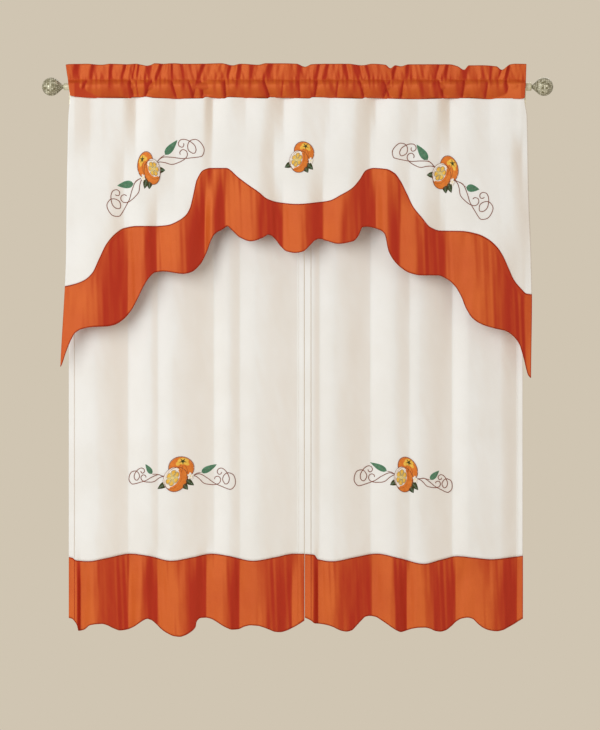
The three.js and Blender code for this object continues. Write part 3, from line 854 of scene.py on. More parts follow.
# ---- The tier curtains ----
# Each tier is drawn from the frame's middle. The seam and the hem run across the whole curtain.
TIER_LEFT_SEAM = [
    (-470, -941), (-452, -944), (-445, -949), (-422, -951), (-380, -944), (-336, -936), (-300, -940),
    (-254, -950), (-210, -943), (-173, -936), (-140, -940), (-90, -950), (-45, -943), (-7, -936),
    (20, -936),
]
TIER_LEFT_HEM = [
    (-470, -1062), (-457, -1063.6), (-452, -1065), (-444, -1074), (-441.5, -1079), (-439, -1089),
    (-429, -1087), (-417, -1078), (-404, -1075.6), (-392, -1075), (-382, -1077.6), (-369, -1084),
    (-356, -1088.4), (-342.5, -1086.7), (-329, -1081), (-318, -1073.5), (-309, -1067.7), (-302, -1065),
    (-293, -1067.7), (-283, -1076), (-273, -1086), (-261, -1094), (-248, -1099.5), (-236, -1100.8),
    (-225, -1097.5), (-217, -1093), (-210, -1087.6), (-205, -1081), (-203.7, -1072.6), (-200, -1066.8),
    (-195, -1063.5), (-184, -1063), (-174, -1065), (-164, -1070), (-152, -1077.6), (-142, -1083),
    (-131, -1086.7), (-119, -1086), (-107.5, -1081), (-94, -1078), (-79, -1079), (-68, -1082),
    (-56, -1086.7), (-44.5, -1091), (-34.5, -1091.7), (-23, -1089), (-10, -1083), (3.6, -1075),
    (15, -1067.7), (24, -1064),
]
TIER_RIGHT_SEAM = [
    (10, -936), (33, -938), (40, -947), (69, -951), (115, -943), (159, -936), (205, -945), (253, -956),
    (288, -948), (320, -941), (355, -944), (389, -947), (420, -944), (460, -939),
]
TIER_RIGHT_HEM = [
    (8, -1060), (20.6, -1065), (28, -1069), (34.6, -1074), (44.6, -1075), (58, -1077), (71, -1081),
    (81, -1086), (89, -1089), (98, -1090.4), (107.6, -1088.4), (117.6, -1079), (127.5, -1068.5),
    (136, -1061), (144, -1059.4), (156, -1061), (167, -1067), (179, -1075), (192, -1084),
    (200.5, -1089), (207, -1091.4), (215, -1089.6), (229, -1085), (242, -1082.8), (256, -1082.4),
    (266, -1084.6), (276, -1089), (286, -1090.6), (296, -1088.4), (308, -1080), (319, -1070),
    (329, -1064.7), (341, -1062.7), (351, -1065), (362, -1075), (372, -1082.6), (384, -1087.6),
    (399, -1089.6), (410.5, -1087.6), (424, -1081), (435, -1075), (445, -1068.5), (451, -1065),
    (460, -1062),
]
TIER_LEFT_FOLDS = [
    (-470, -3), (-459, -2), (-403, 6), (-339, -6), (-295, 4), (-279, 2), (-251, 6), (-167, -7),
    (-137, 4), (-115, 1), (-83, 6), (1, -4), (14, -2), (30, -2),
]
TIER_LEFT_HEM_FOLDS = [
    (-470, 0), (-457, 0), (-442, 4), (-436, -4), (-401, 7), (-339, -8), (-312, 5), (-281, -6),
    (-229, 8), (-183, -8), (-142, 5), (-117, -5), (-67, 8), (-11, -6), (8, 0), (30, 0),
]
TIER_RIGHT_FOLDS = [
    (5, -2), (16, 0), (31, 2), (45, 0), (73, 5), (147, -7), (195, 6), (225, 2), (245, 5), (311, -7),
    (345, 6), (405, 4), (441, -4), (453, -1), (465, -1),
]
TIER_RIGHT_HEM_FOLDS = [
    (5, 0), (16, 0), (32, 5), (41, -3), (77, 8), (149, -8), (194, 7), (219, -5), (257, 8), (317, -8),
    (399, 8), (441, -6), (453, -2), (465, -2),
]
TIER_FLARE = (-30, -180)  # between these heights a tier widens from its header to its full width


def softened(folds, share):
    return [(x, height * share) for x, height in folds]


class Tier:
    """One tier curtain: its drape, its outlines, the bodies and the joint that it moves with."""

    def __init__(self, word, seam, hem, folds, hem_folds, seed):
        self.word = word
        self.body = f"tier_{word}"
        self.edge_body = f"tier_{word}_edge"
        self.panel = span(f"tier_{word}_panel")
        self.outer = span(f"tier_{word}_outer_hem")
        self.leading = span(f"tier_{word}_leading_hem")
        self.header = span(f"tier_{word}_header")
        self.top = self.header[0].z
        self.seam_line, self.hem_line = seam, hem
        self.drape = Drape(
            REAR_ROD_Y, self.top, self.hem,
            [(0.0, 0.0, softened(folds, 0.5)), (0.45, 0.0, folds),
             (0.84, 0.0, softened(folds, 0.8)), (0.93, 0.0, hem_folds)],
            wrinkle=0.5, seed=seed, seam=self.seam,
        )
        joint = next(j for j in frame["joints"] if j["name"] == f"tier_{word}_draw")
        self.joint = joint["name"]
        # The outer hem stays, and the panel's inner edge goes as far as the leading hem does.
        outward = -1 if word == "left" else 1
        self.anchor = min(self.outer[0].x, self.outer[1].x, key=lambda x: -outward * x)
        inner = max(self.panel[0].x, self.panel[1].x, key=lambda x: -outward * x)
        travel = max(abs(limit) for limit in joint["range_m"]) / MM
        # The place it would gather towards: the outer hem's inner side, so that it would stay clear of the
        # bracket.
        strip = self.leading[1].x - self.leading[0].x
        self.gather_to = self.anchor - outward * strip
        self.keep = 1 - travel / abs(inner - self.gather_to)
        self.fixed = self.leading[1].x if word == "left" else self.leading[0].x
        header_end = self.header[0].x if word == "left" else self.header[1].x
        self.narrow = (header_end - self.fixed) / (self.anchor - self.fixed)

    def seam(self, x):
        return smooth_line(self.seam_line, x)

    def hem(self, x):
        return smooth_line(self.hem_line, x)

    def on_cloth(self, x, z, lift=0.0):
        """Places on the curtain, drawn in a little towards its header."""
        flare = ease((TIER_FLARE[0] - z) / (TIER_FLARE[0] - TIER_FLARE[1]))
        share = self.narrow + (1 - self.narrow) * flare
        points = self.drape.on_cloth(x, z, lift)
        points[..., 0] = (self.fixed + (x - self.fixed) * share) * MM
        return points

    def gathers(self, obj):
        """Gives the piece a mesh of its own."""
        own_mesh(obj)

    def between(self, left, right, upper, lower):
        """A place function for cloth between two sides and two of the curtain's lines."""
        def place(across, down):
            x = left + (right - left) * across
            top, bottom = upper(x), lower(x)
            z = top + (bottom - top) * down
            return self.on_cloth(x, z)
        return place


def level(z):
    return lambda x: np.full_like(x, z)


def hem_strip(tier, name, ends, body, replaced):
    """A turned-in side hem: cream down to the seam and orange below it, a little thicker."""
    left, right = ends
    strips = []
    for part, upper, lower, rows, material, slot in (
        ("", level(tier.top + 2), tier.seam, 150, CREAM, "cream_cloth"),
        ("_band", tier.seam, tier.hem, 30, ORANGE, "orange_cloth"),
    ):
        mesh = sheet_mesh(name + part, 8, rows, tier.between(left, right, upper, lower))
        strip = piece(name + part, mesh, material, body, [] if part else [replaced])
        wall = give_thickness(strip, 1.1 if part else 0.8)
        wall.offset = 0
        strips.append(strip)
    return strips


def tier_header(tier):
    """The tier's own gathered header, on the rod behind the valance."""
    draw = np.random.default_rng(tier.drape.seed)
    low, high = tier.header[0].x, tier.header[1].x
    top = tier.header[1].z
    places = np.arange(low + 8, high - 12, 27.0)
    crests = places + draw.uniform(-6, 6, len(places))
    gathers = [(x, x + draw.uniform(5, 10), draw.uniform(2.5, 5)) for x in crests]
    tucks = [(x, x + draw.uniform(-9, 9), draw.uniform(2, 4.5)) for x in crests[::2]]
    edges = np.linspace(low - 5, high + 5, 22)
    tops = [(x, top - draw.uniform(0.5, 4)) for x in edges]
    bottoms = [(x, tier.top + draw.uniform(-1.5, 1)) for x in edges]
    header = piece(
        f"tier_{tier.word}_header_cloth",
        header_mesh(f"tier_{tier.word}_header_cloth", REAR_ROD_Y, REAR_ROD_RADIUS,
                    lambda z: (np.full_like(z, low), np.full_like(z, high)), 0, tops, 11.0, bottoms,
                    fold_row(gathers), tucks, tier.drape.seed + 20, 340),
        ORANGE, tier.body, [f"tier_{tier.word}_header"],
    )
    give_thickness(header)
    tier.gathers(header)
    return header


def tier_pieces(tier):
    """A tier's panel, band, header and side hems, with the threads along their edges."""
    left, right = tier.panel[0].x - 2.2, tier.panel[1].x + 2.2
    panel = piece(
        f"tier_{tier.word}_panel_cloth",
        sheet_mesh(f"tier_{tier.word}_panel_cloth", 200, 150,
                   tier.between(left, right, level(tier.top + 2), tier.seam)),
        CREAM, tier.body, [f"tier_{tier.word}_panel"],
    )
    band = piece(
        f"tier_{tier.word}_band_cloth",
        sheet_mesh(f"tier_{tier.word}_band_cloth", 300, 50,
                   tier.between(left, right, tier.seam, tier.hem)),
        ORANGE, tier.body, [f"tier_{tier.word}_band"],
    )
    for cloth in (panel, band):
        give_thickness(cloth)
        tier.gathers(cloth)
    header = tier_header(tier)
    strip = tier.leading[1].x - tier.leading[0].x
    inward = 1 if tier.word == "left" else -1
    outer = sorted((tier.anchor, tier.anchor + inward * strip))
    # The two leading hems nearly meet.
    leading = [tier.leading[0].x, tier.leading[1].x]
    leading[1 if tier.word == "left" else 0] += inward * 1.1
    strips = {
        "outer": hem_strip(tier, f"tier_{tier.word}_outer_hem_cloth", outer, tier.body,
                           f"tier_{tier.word}_outer_hem"),
        "leading": hem_strip(tier, f"tier_{tier.word}_leading_hem_cloth", leading, tier.edge_body,
                             f"tier_{tier.word}_leading_hem"),
    }
    for line_name, line in (("seam", tier.seam), ("hem", tier.hem)):
        for part, ends, body, gathered in (
            ("", (left, right), tier.body, True),
            ("_outer", outer, tier.body, False),
            ("_leading", leading, tier.edge_body, False),
        ):
            x = np.linspace(ends[0], ends[1], max(12, int(abs(ends[1] - ends[0]) * 2)))
            path = evenly(tier.on_cloth(x, line(x), 0.35), 0.6 * MM)
            name = f"tier_{tier.word}_{line_name}_edge{part}"
            mesh = thread_mesh(name, [path], 0.8 * MM, 0.65 * MM, ripple=0.16)
            thread = piece(name, mesh, EDGE_THREAD, body)
            if gathered:
                tier.gathers(thread)
    for part, ends, body in (("outer", outer, tier.body), ("leading", leading, tier.edge_body)):
        x_stitch = (ends[1] if (inward > 0) == (part == "outer") else ends[0])
        x_stitch += -1.6 if x_stitch == ends[1] else 1.6
        z = np.arange(tier.top - 4, tier.seam(np.array([x_stitch]))[0] + 3, -1.1)
        path = tier.on_cloth(np.full_like(z, x_stitch), z, 0.6)
        mesh = thread_mesh(f"tier_{tier.word}_{part}_stitches", [path], 0.26 * MM, 0.24 * MM, 5, 0.6, 3 * MM)
        piece(mesh.name, mesh, CREAM_THREAD, body)
    return panel, band, header, strips


tiers = {
    "left": Tier("left", TIER_LEFT_SEAM, TIER_LEFT_HEM, TIER_LEFT_FOLDS, TIER_LEFT_HEM_FOLDS, 41),
    "right": Tier("right", TIER_RIGHT_SEAM, TIER_RIGHT_HEM, TIER_RIGHT_FOLDS, TIER_RIGHT_HEM_FOLDS, 57),
}
tier_cloths = {word: tier_pieces(tier) for word, tier in tiers.items()}


# ---- Embroidery ----
# One motif, drawn flat about its own middle: two oranges, one cut in half, small leaves and a flower.
# A curled pair of stems and a long leaf reach out to each side of it.
ARM = [
    [(33.5, 2.4), (46.3, 3.2), (60.6, -6.4), (73.4, -17.5), (87.7, -25.5), (100.5, -31.9),
     (106.9, -32.7), (114.8, -25.5), (116.4, -14.4), (113.2, -4), (103.7, 0.8), (95.7, -2.4),
     (90.9, -11.2), (94.1, -19.9), (98.1, -21.5), (102.9, -17.5), (104.5, -8), (98.9, 4.8),
     (90.9, 11.2), (83.7, 9.6), (81.3, 4), (84.5, -0.8), (88.5, 0), (90.9, 4)],
    [(35.9, 0), (43.9, -6.4), (52.6, -16), (65.4, -19.9), (76.6, -20.7), (84.5, -17.5),
     (86.9, -10.4), (82.9, -4.8), (76.6, -5.6), (74.2, -10.4)],
]
ARM_ROOT = (33.5, 2.4)
ARM_CURL = (98.0, -14.0)


class Motif:
    """Stitched shapes on a cloth, gathered into one mesh for each colour of thread.

    across and up say where one millimetre to the right and one up in the drawing go on the cloth.
    """

    def __init__(self, name, cloth, body, origin, across=(1, 0), up=(0, 1), gathers=None):
        self.name, self.cloth, self.body = name, cloth, body
        self.origin, self.across, self.up = np.array(origin), np.array(across), np.array(up)
        self.gathers = gathers
        self.shapes = {}

    def drawn(self, flat):
        """Drawn places (n, 2) as places on the cloth, in millimetres."""
        flat = np.asarray(flat, float)
        return self.origin + flat[:, :1] * self.across + flat[:, 1:] * self.up

    def bmesh_for(self, colour):
        if colour not in self.shapes:
            shape = bmesh.new()
            shape.loops.layers.uv.new("cloth")
            self.shapes[colour] = shape
        return self.shapes[colour]

    def patch(self, colour, outline, centre, lift, stitch_angle=0.0, rings=4, dome=0.7):
        """A padded patch of satin stitch inside a closed outline on the cloth, sunk at its rim."""
        shape = self.bmesh_for(colour)
        uv = shape.loops.layers.uv["cloth"]
        outline = np.asarray(outline, float)
        spokes = len(outline) - 1
        grid = bmesh.ops.create_grid(shape, x_segments=spokes, y_segments=rings, size=0.5)
        verts = grid["verts"]
        i = np.array([round((v.co.x + 0.5) * spokes) for v in verts])
        share = np.array([v.co.y + 0.5 for v in verts])
        flat = np.asarray(centre) + (outline[i] - np.asarray(centre)) * share[:, None]
        height = lift + dome * (1 - share**4) - 0.5 * (share > 0.99)
        points = self.cloth.on_cloth(flat[:, 0], flat[:, 1], height)
        cos, sin = math.cos(math.radians(stitch_angle)), math.sin(math.radians(stitch_angle))
        flat_uv = {}
        for vert, point, (a, b) in zip(verts, points, flat * MM):
            vert.co = point
            flat_uv[vert] = (a * cos + b * sin, b * cos - a * sin)
        lay_uv(uv, flat_uv)
        bmesh.ops.remove_doubles(shape, verts=verts, dist=1e-6)

    def line(self, colour, points, lift=0.5, wide=0.7):
        """A raised line of stitches through places on the cloth."""
        step, tall, sides = 1.6, 0.45, 6
        curve = curve_through(points, step)
        path = self.cloth.on_cloth(curve[:, 0], curve[:, 1], lift)
        rings = tube_points(path, wide * MM, tall * MM, sides)
        shape = self.bmesh_for(colour)
        uv = shape.loops.layers.uv["cloth"]
        verts = wrapped(shape, uv, rings, lambda i, j: (i * step * MM, j * 0.8 * MM))
        bmesh.ops.remove_doubles(shape, verts=verts, dist=1e-7)

    def finish(self):
        """Makes one piece of each colour's stitches."""
        made = []
        for colour, shape in self.shapes.items():
            bmesh.ops.recalc_face_normals(shape, faces=shape.faces)
            mesh = mesh_from(shape, f"{self.name}_{colour}")
            obj = piece(mesh.name, mesh, THREADS[colour], self.body)
            if self.gathers:
                self.gathers(obj)
            made.append(obj)
        return made


def ellipse(centre, wide, tall, tilt=0.0, spokes=28):
    """A closed ring of places round an ellipse, its long axis tilted by degrees."""
    angle = np.linspace(0, 2 * math.pi, spokes + 1)
    cos, sin = math.cos(math.radians(tilt)), math.sin(math.radians(tilt))
    a, b = wide * np.cos(angle), tall * np.sin(angle)
    return np.stack([centre[0] + a * cos - b * sin, centre[1] + a * sin + b * cos], axis=1)


def leaf_outline(base, tip, half_width, steps=11):
    """A leaf, widest towards its base and drawn out to its tip."""
    base, tip = np.array(base, float), np.array(tip, float)
    share = np.linspace(0, 1, steps)
    bulge = np.sin(share**0.75 * math.pi) ** 0.8 * (1 - 0.3 * share) * half_width * 1.3
    along = tip - base
    side = np.array([-along[1], along[0]]) / np.linalg.norm(along)
    upper = base + along * share[:, None] + side * bulge[:, None]
    lower = base + along * share[:, None] - side * bulge[:, None]
    return np.vstack([upper, lower[::-1][1:]])


def leaf(motif, base, tip, half_width, colour="green", vein="pale_green"):
    """A leaf laid on the cloth: a padded blade, a middle vein and side veins."""
    base, tip = np.array(base, float), np.array(tip, float)
    half_way = base * 0.55 + tip * 0.45
    angle = math.degrees(math.atan2(tip[1] - base[1], tip[0] - base[0]))
    motif.patch(colour, leaf_outline(base, tip, half_width), half_way, 0.3, angle + 35)
    motif.line(vein, [base, half_way, tip * 0.9 + base * 0.1], lift=1.0, wide=0.35)
    along = (tip - base) / np.linalg.norm(tip - base)
    side = np.array([-along[1], along[0]])
    if half_width > 4.4:
        for share in (0.25, 0.42, 0.6):
            start = base + (tip - base) * share
            for way in (-1, 1):
                end = start + along * 4.5 + side * way * half_width * 0.6 * (1.1 - share)
                motif.line(vein, [start, (start + end) / 2, end], lift=0.95, wide=0.25)


def segment(centre, wide, tall, tilt, start, sweep):
    """A closed outline of one segment of the cut fruit, its point near the middle."""
    angle = np.linspace(start, start + sweep, 9)
    round_off = 1 - 0.16 * (2 * np.linspace(0, 1, 9) - 1) ** 4
    rim = np.stack([wide * np.cos(angle) * round_off, tall * np.sin(angle) * round_off], axis=1)
    point = 0.16 * rim.mean(axis=0)
    ring = np.vstack([point, rim, point])
    cos, sin = math.cos(math.radians(tilt)), math.sin(math.radians(tilt))
    turned = np.stack([ring[:, 0] * cos - ring[:, 1] * sin, ring[:, 0] * sin + ring[:, 1] * cos], axis=1)
    return turned + np.array(centre)


def oranges(motif):
    """The whole orange behind, the cut one in front, the flower and the small leaves."""
    def on(points):
        return motif.drawn(np.atleast_2d(points))

    def at(x, z):
        return motif.drawn([(x, z)])[0]

    for base, tip in (((-18, -15), (-38, -28)), ((18, -8), (36.7, -20.7)), ((13, -16), (24, -29.5))):
        leaf(motif, at(*base), at(*tip), 5.5, "olive", "pale_green")
    whole = ellipse((10.4, 15.1), 25.7, 22.2)
    motif.patch("orange", on(whole), at(10.4, 15.1), 0.4, 20)
    motif.line("brown", on(whole), lift=0.7, wide=0.5)
    lit = (((13.4, 27.4), 13, 7.5, 0), ((20.5, 24), 8, 5, -30), ((4.5, 23.5), 7, 5, 30))
    for spot, wide, tall, tilt in lit:
        motif.patch("gold", on(ellipse(spot, wide, tall, tilt, 18)), at(*spot), 0.85, 80, dome=0.5)
    star = []
    for k in range(11):
        reach = 9.5 if k % 2 == 0 else 3.0
        turn = k * math.pi / 5 + 0.6
        star.append((13.6 + reach * math.sin(turn), 27.9 + reach * 0.8 * math.cos(turn)))
    motif.patch("olive", on(star), at(13.6, 27.9), 1.5, 0, dome=0.4)
    for bend in (-9, 0, 9):
        seam_line = [(13.6 + bend * 0.4, 21), (12 + bend * 1.2, 10), (9 + bend * 1.3, -2)]
        motif.line("umber", on(seam_line), lift=1.0, wide=0.25)
    body = ellipse((0, -8.5), 26, 21, 55)
    motif.patch("orange", on(body), at(0, -8.5), 1.0, 60)
    motif.line("brown", on(body), lift=1.2, wide=0.5)
    face, tilt = (-7.2, -5.6), 58
    motif.patch("white", on(ellipse(face, 23, 16.5, tilt)), at(*face), 1.5, 10, dome=0.4)
    motif.line("brown", on(ellipse(face, 23.5, 17, tilt)), lift=1.4, wide=0.24)
    motif.patch("yellow", on(ellipse(face, 17.8, 12.4, tilt)), at(*face), 1.75, 40, dome=0.35)
    for k in range(6):
        start = math.radians(60 * k + 5)
        wedge = on(segment(face, 17, 11.7, tilt, start, math.radians(50)))
        motif.patch("gold", wedge, wedge[:-1].mean(axis=0), 2.0, 60 * k, rings=3, dome=0.5)
        motif.line("umber", wedge, lift=2.4, wide=0.2)
    motif.patch("gold", on(ellipse(face, 2.2, 1.8, tilt, 10)), at(*face), 2.1, 0, rings=2, dome=0.3)
    flower = (28.7, -1.6)
    for k in range(5):
        a = math.radians(72 * k + 20)
        petal = (flower[0] + 3.8 * math.cos(a), flower[1] + 3.8 * math.sin(a))
        blade = on(ellipse(petal, 3.6, 2.5, math.degrees(a), 12))
        motif.patch("white", blade, at(*petal), 1.4, 0, rings=2, dome=0.4)
    heart = on(ellipse(flower, 1.5, 1.5, 0, 10))
    motif.patch("yellow", heart, at(*flower), 1.9, 0, rings=2, dome=0.3)


def arm(motif, root, curl, leaf_base, leaf_tip, half_width):
    """The stems and the leaf of one side, laid from a root to the middle of their curl."""
    flipped = curl[0] < root[0]
    reach = complex(*np.subtract(ARM_CURL, ARM_ROOT))
    if flipped:
        reach = complex(-reach.real, reach.imag)
    turn = complex(*np.subtract(curl, root)) / reach
    under_fruit = np.array(root) + 0.35 * (motif.origin - np.array(root))
    for line in ARM:
        away = np.array(line) - ARM_ROOT
        away[:, 0] *= -1 if flipped else 1
        laid = (away[:, 0] + 1j * away[:, 1]) * turn
        stem = np.stack([laid.real + root[0], laid.imag + root[1]], axis=1)
        motif.line("brown", np.vstack([under_fruit, stem]))
    bend = (np.array(root) + np.array(leaf_base)) / 2 + (0, 1.5)
    motif.line("brown", [root, bend, leaf_base], wide=0.55)
    leaf(motif, leaf_base, leaf_tip, half_width)


left_tier, right_tier = tiers["left"], tiers["right"]
MOTIFS = [
    (Motif("motif_valance_left", swag, "swag", (-294.0, -163.5), (-0.53, -0.6), (-0.34, 0.94)), [
        ((-281.2, -150.0), (-210.0, -125.0), (-265.8, -136.8), (-239.7, -105.9), 6.5),
        ((-311.3, -182.3), (-361.2, -236.6), (-327.4, -194.0), (-361.9, -198.1), 7.0),
    ]),
    (Motif("motif_valance_middle", swag, "swag", (4.2, -142.3), (0.77, -0.15), (0.05, 0.9)), []),
    (Motif("motif_valance_right", swag, "swag", (291.4, -172.2), (0.64, -0.58), (0.34, 0.95)), [
        ((272.6, -158.8), (210.3, -130.9), (260.2, -147.8), (237.4, -114.7), 7.0),
        ((318.2, -188.9), (370.2, -242.4), (336.5, -201.3), (364.4, -205.7), 7.0),
    ]),
    (Motif("motif_tier_left", left_tier, left_tier.body, (-243.6, -777.6),
           gathers=left_tier.gathers), [
        ((-270.3, -779.3), (-323.1, -781.6), (-291.7, -775.5), (-305.5, -754.8), 4.8),
        ((-208.3, -777.0), (-143.3, -787.7), (-193.8, -772.4), (-161.2, -755.6), 5.8),
    ]),
    (Motif("motif_tier_right", right_tier, right_tier.body, (213.4, -777.8), (0.77, -0.24),
           (-0.03, 1.03), gathers=right_tier.gathers), [
        ((195.0, -775.5), (131.5, -781.6), (179.7, -769.7), (145.0, -751.7), 5.5),
        ((243.2, -784.6), (295.3, -796.9), (265.4, -786.9), (284.5, -767.8), 5.2),
    ]),
]
stitched = {}
for motif, arms in MOTIFS:
    for one in arms:
        arm(motif, *one)
    oranges(motif)
    stitched.setdefault(motif.body, []).extend(motif.finish())


# ---- Finials, rods and brackets ----
def turned_mesh(name, profile, side, centre, segments=64):
    """A piece turned about the rods' direction. The profile lists (along, radius)."""
    shape = bmesh.new()
    verts = [shape.verts.new((along * side, 0, radius)) for along, radius in profile]
    edges = [shape.edges.new(pair) for pair in zip(verts, verts[1:])]
    bmesh.ops.spin(shape, geom=verts + edges, cent=(0, 0, 0), axis=(1, 0, 0),
                   angle=2 * math.pi, steps=segments, use_merge=True)
    bmesh.ops.remove_doubles(shape, verts=shape.verts, dist=1e-4)
    bmesh.ops.recalc_face_normals(shape, faces=shape.faces)
    bmesh.ops.scale(shape, verts=shape.verts, vec=(MM, MM, MM))
    bmesh.ops.translate(shape, verts=shape.verts, vec=Vector(centre) * MM)
    return mesh_from(shape, name)


def sharpened(obj, degrees=35):
    obj.data.set_sharp_from_angle(angle=math.radians(degrees))
    return obj


def finial(word, side):
    """A ball on a cone, covered in small chips set on rings round the outer pole."""
    low, high = span(f"finial_{word}")
    plug_low, plug_high = span(f"rod_plug_{word}")
    ball = (high.z - low.z) / 2
    tip = high.x if side > 0 else low.x
    centre_x = tip - side * ball
    neck_x = (plug_high.x if side > 0 else plug_low.x) + side * 0.3
    run = abs(centre_x - neck_x)
    neck = 3.0
    cone_steps, ball_steps = 28, 96
    cone_turn = 0.9  # how much of the rings' count of turns goes on past the ball, down the cone
    tangent = math.asin(ball / math.hypot(run, neck)) - math.atan2(neck, run)
    first = math.pi / 2 + tangent
    profile = [(-run, neck * 0.9)]
    cone_end = (ball * math.cos(first), ball * math.sin(first))
    for k in range(cone_steps):
        share = k / cone_steps
        profile.append((-run + (cone_end[0] + run) * share, neck + (cone_end[1] - neck) * share))
    for k in range(ball_steps + 1):
        angle = first * (1 - k / ball_steps)
        profile.append((ball * math.cos(angle), ball * math.sin(angle) if k < ball_steps else 0))
    mesh = turned_mesh(f"finial_{word}_mosaic", profile, side, (centre_x, FRONT_ROD_Y, 0), 240)
    chips = []
    draw = np.random.default_rng(7 + side)
    polar = 0.16
    while polar < first + cone_turn:
        # Past the ball the rings go on down the cone.
        if polar < first:
            along, radius, chip = ball * math.cos(polar), ball * math.sin(polar), 4.3
        else:
            share = (polar - first) / cone_turn
            along = cone_end[0] + (-run - cone_end[0]) * share
            radius, chip = cone_end[1] + (neck - cone_end[1]) * share, 2.2
        count = max(4, round(2 * math.pi * radius / chip))
        for k in range(count):
            turn = 2 * math.pi * (k + draw.uniform(-0.22, 0.22)) / count + polar * 0.35
            slip = draw.uniform(-0.4, 0.4)
            chips.append((side * (along + slip), radius * math.cos(turn), radius * math.sin(turn)))
        polar += 0.225 if polar < first else 0.14
    chips = np.array(chips)
    tree = KDTree(len(chips))
    for k, chip in enumerate(chips):
        tree.insert(chip, k)
    tree.balance()
    tones = draw.uniform(0, 1, len(chips))
    tilts = draw.normal(0, 1, (len(chips), 3))
    origin = Vector((centre_x, FRONT_ROD_Y, 0))
    tone = mesh.attributes.new("chip_tone", "FLOAT", "POINT")
    face = mesh.attributes.new("chip_face", "FLOAT", "POINT")
    for k, vert in enumerate(mesh.vertices):
        local = vert.co / MM - origin
        (first_at, i, near), (_, _, far) = tree.find_n(local, 2)
        edge = min(1.0, max(0.0, (far - near) / 0.95))
        tilt = float(np.dot(tilts[i], np.array(local - first_at)))
        height = -0.35 + 0.35 * edge + 0.05 * tilt * edge
        on_ball = local.x * side > cone_end[0]
        away = local.normalized() if on_ball else Vector((0, local.y, local.z)).normalized()
        vert.co = (origin + local + away * height) * MM
        tone.data[k].value = tones[i]
        face.data[k].value = edge
    return piece(f"finial_{word}_mosaic", mesh, MOSAIC, f"finial_{word}",
                 [f"finial_{word}"])


def tube(name, node, body):
    """A round tube with softened ends, at its CAD node's size."""
    low, high = span(node)
    radius = (high.z - low.z) / 2
    half = (high.x - low.x) / 2
    wall, soft = 0.7, 0.25
    profile = [
        (-half, radius - soft), (-half + soft, radius), (half - soft, radius), (half, radius - soft),
        (half, radius - wall), (-half, radius - wall), (-half, radius - soft),
    ]
    mesh = turned_mesh(name, profile, 1, middle(node), 72)
    sharpened(piece(name, mesh, PEWTER, body, [node]))


for rod in ("front_rod", "rear_rod"):
    tube(f"{rod}_outer", f"{rod}_outer_tube", rod)
    tube(f"{rod}_inner", f"{rod}_inner_tube", f"{rod}_inner")
for word, side in (("left", -1), ("right", 1)):
    finial(word, side)


def threads(*names):
    return [bpy.data.objects[name] for name in names]


for word, (panel, band, header, strips) in tier_cloths.items():
    name = f"tier_{word}"
    rod = "rear_rod_inner" if word == "left" else "rear_rod_outer"


def refined(node, material, body, bevel, segments=2):
    """A copy of a CAD node with merged faces and softened edges."""
    shape = bmesh.new()
    shape.from_mesh(frame["nodes"][node].data)
    bmesh.ops.remove_doubles(shape, verts=shape.verts, dist=2e-6)
    bmesh.ops.dissolve_limit(shape, angle_limit=math.radians(1), verts=shape.verts, edges=shape.edges)
    sharp = [e for e in shape.edges if len(e.link_faces) == 2 and e.calc_face_angle() > math.radians(40)]
    bmesh.ops.bevel(shape, geom=sharp, offset=bevel * MM, segments=segments, profile=0.5,
                    affect="EDGES", material=-1, clamp_overlap=True)
    bmesh.ops.triangulate(shape, faces=[f for f in shape.faces if len(f.verts) > 4])
    mesh = mesh_from(shape, f"{node}_finished")
    return sharpened(piece(mesh.name, mesh, material, body, [node]), 30)


for body, nodes in (frame["record"]["behaviour"]["bodies"]).items():
    for node in nodes:
        if node.startswith(("wall_plate", "bracket_arm")):
            refined(node, PEWTER, body, 0.4)
        elif node.startswith(("rod_plug", "rear_cap")):
            refined(node, PEWTER, body, 0.2)
        elif "screw" in node:
            refined(node, STEEL, body, 0.25)


# ---- The camera, the light and the floor ----
VIEW_DISTANCE = 14.0
VIEW_TALL = 1.46
view_middle = Vector((0.0048, 0, -0.5566))


def aim(obj, place, target):
    obj.location = place
    obj.rotation_euler = (Vector(target) - Vector(place)).to_track_quat("-Z", "Y").to_euler()


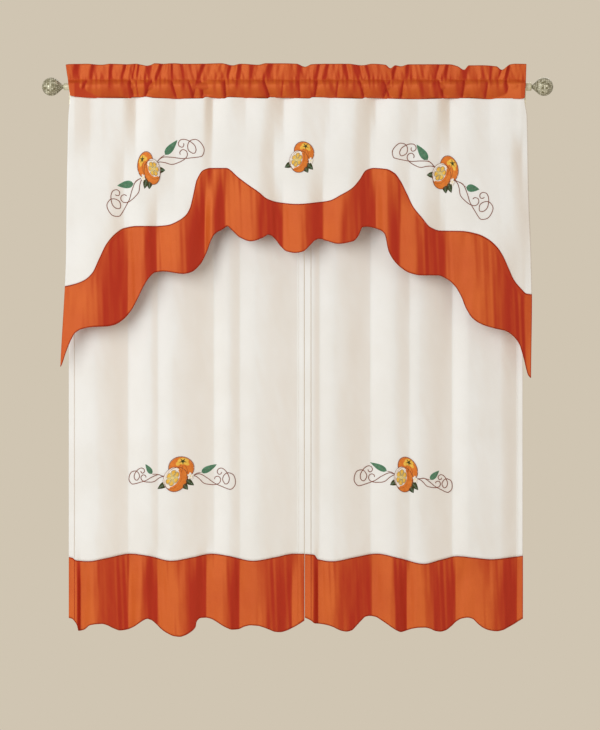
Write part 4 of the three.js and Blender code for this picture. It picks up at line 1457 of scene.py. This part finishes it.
camera_data = bpy.data.cameras.new("camera")
camera = in_scene("camera", camera_data)
bpy.context.scene.camera = camera
camera_data.sensor_width = 36.0
camera_data.lens = 36.0 * VIEW_DISTANCE / VIEW_TALL
camera_data.clip_end = 50.0
front_y = FRONT_ROD_Y * MM
aim(camera, (view_middle.x, front_y - VIEW_DISTANCE, view_middle.z), (view_middle.x, front_y, view_middle.z))


def lamp(name, place, target, size, power, colour=(1.0, 1.0, 1.0)):
    """A round soft light, aimed at a place."""
    data = bpy.data.lights.new(name, "AREA")
    data.shape = "DISK"
    data.size = size
    data.energy = power
    data.color = colour
    aim(in_scene(name, data), place, target)


centre = (0.0, -0.06, -0.5)
lamp("key", (-2.8, -3.9, 0.6), centre, 3.8, 142.0, (0.99, 0.995, 1.0))
lamp("fill", (2.6, -3.4, 0.0), centre, 2.5, 12.0, (1.0, 0.9, 0.83))
lamp("back", (0.6, 2.6, 1.2), centre, 2.0, 14.0)

world = bpy.data.worlds.new("studio")
world.use_nodes = True
studio = world.node_tree
seen = studio.nodes["Background"]
seen.inputs[0].default_value = linear(208, 197, 178)
unseen = studio.nodes.new("ShaderNodeBackground")
unseen.inputs[0].default_value = linear(230, 221, 211)
unseen.inputs[1].default_value = 0.6
which = studio.nodes.new("ShaderNodeLightPath")
both = studio.nodes.new("ShaderNodeMixShader")
studio.links.new(which.outputs["Is Camera Ray"], both.inputs[0])
studio.links.new(unseen.outputs[0], both.inputs[1])
studio.links.new(seen.outputs[0], both.inputs[2])
studio.links.new(both.outputs[0], studio.nodes["World Output"].inputs[0])
bpy.context.scene.world = world
bpy.context.scene.view_settings.view_transform = "Standard"

floor_shape = bmesh.new()
FLOOR_RADIUS, FLOOR_BELOW = 1.7, 0.45
bmesh.ops.create_circle(floor_shape, cap_ends=True, segments=96, radius=FLOOR_RADIUS)
bmesh.ops.translate(floor_shape, verts=floor_shape.verts, vec=(0, 0, cad_low.z - FLOOR_BELOW))
floor_mesh = mesh_from(floor_shape, "floor")
floor_finish = Finish("pale_floor", Roughness=0.8)
floor_finish.shader.inputs["Base Color"].default_value = linear(226, 220, 208)
floor_mesh.materials.append(floor_finish.material)
in_scene("floor", floor_mesh)

# ---- Bringing the scene up to date ----
bpy.context.view_layer.update()
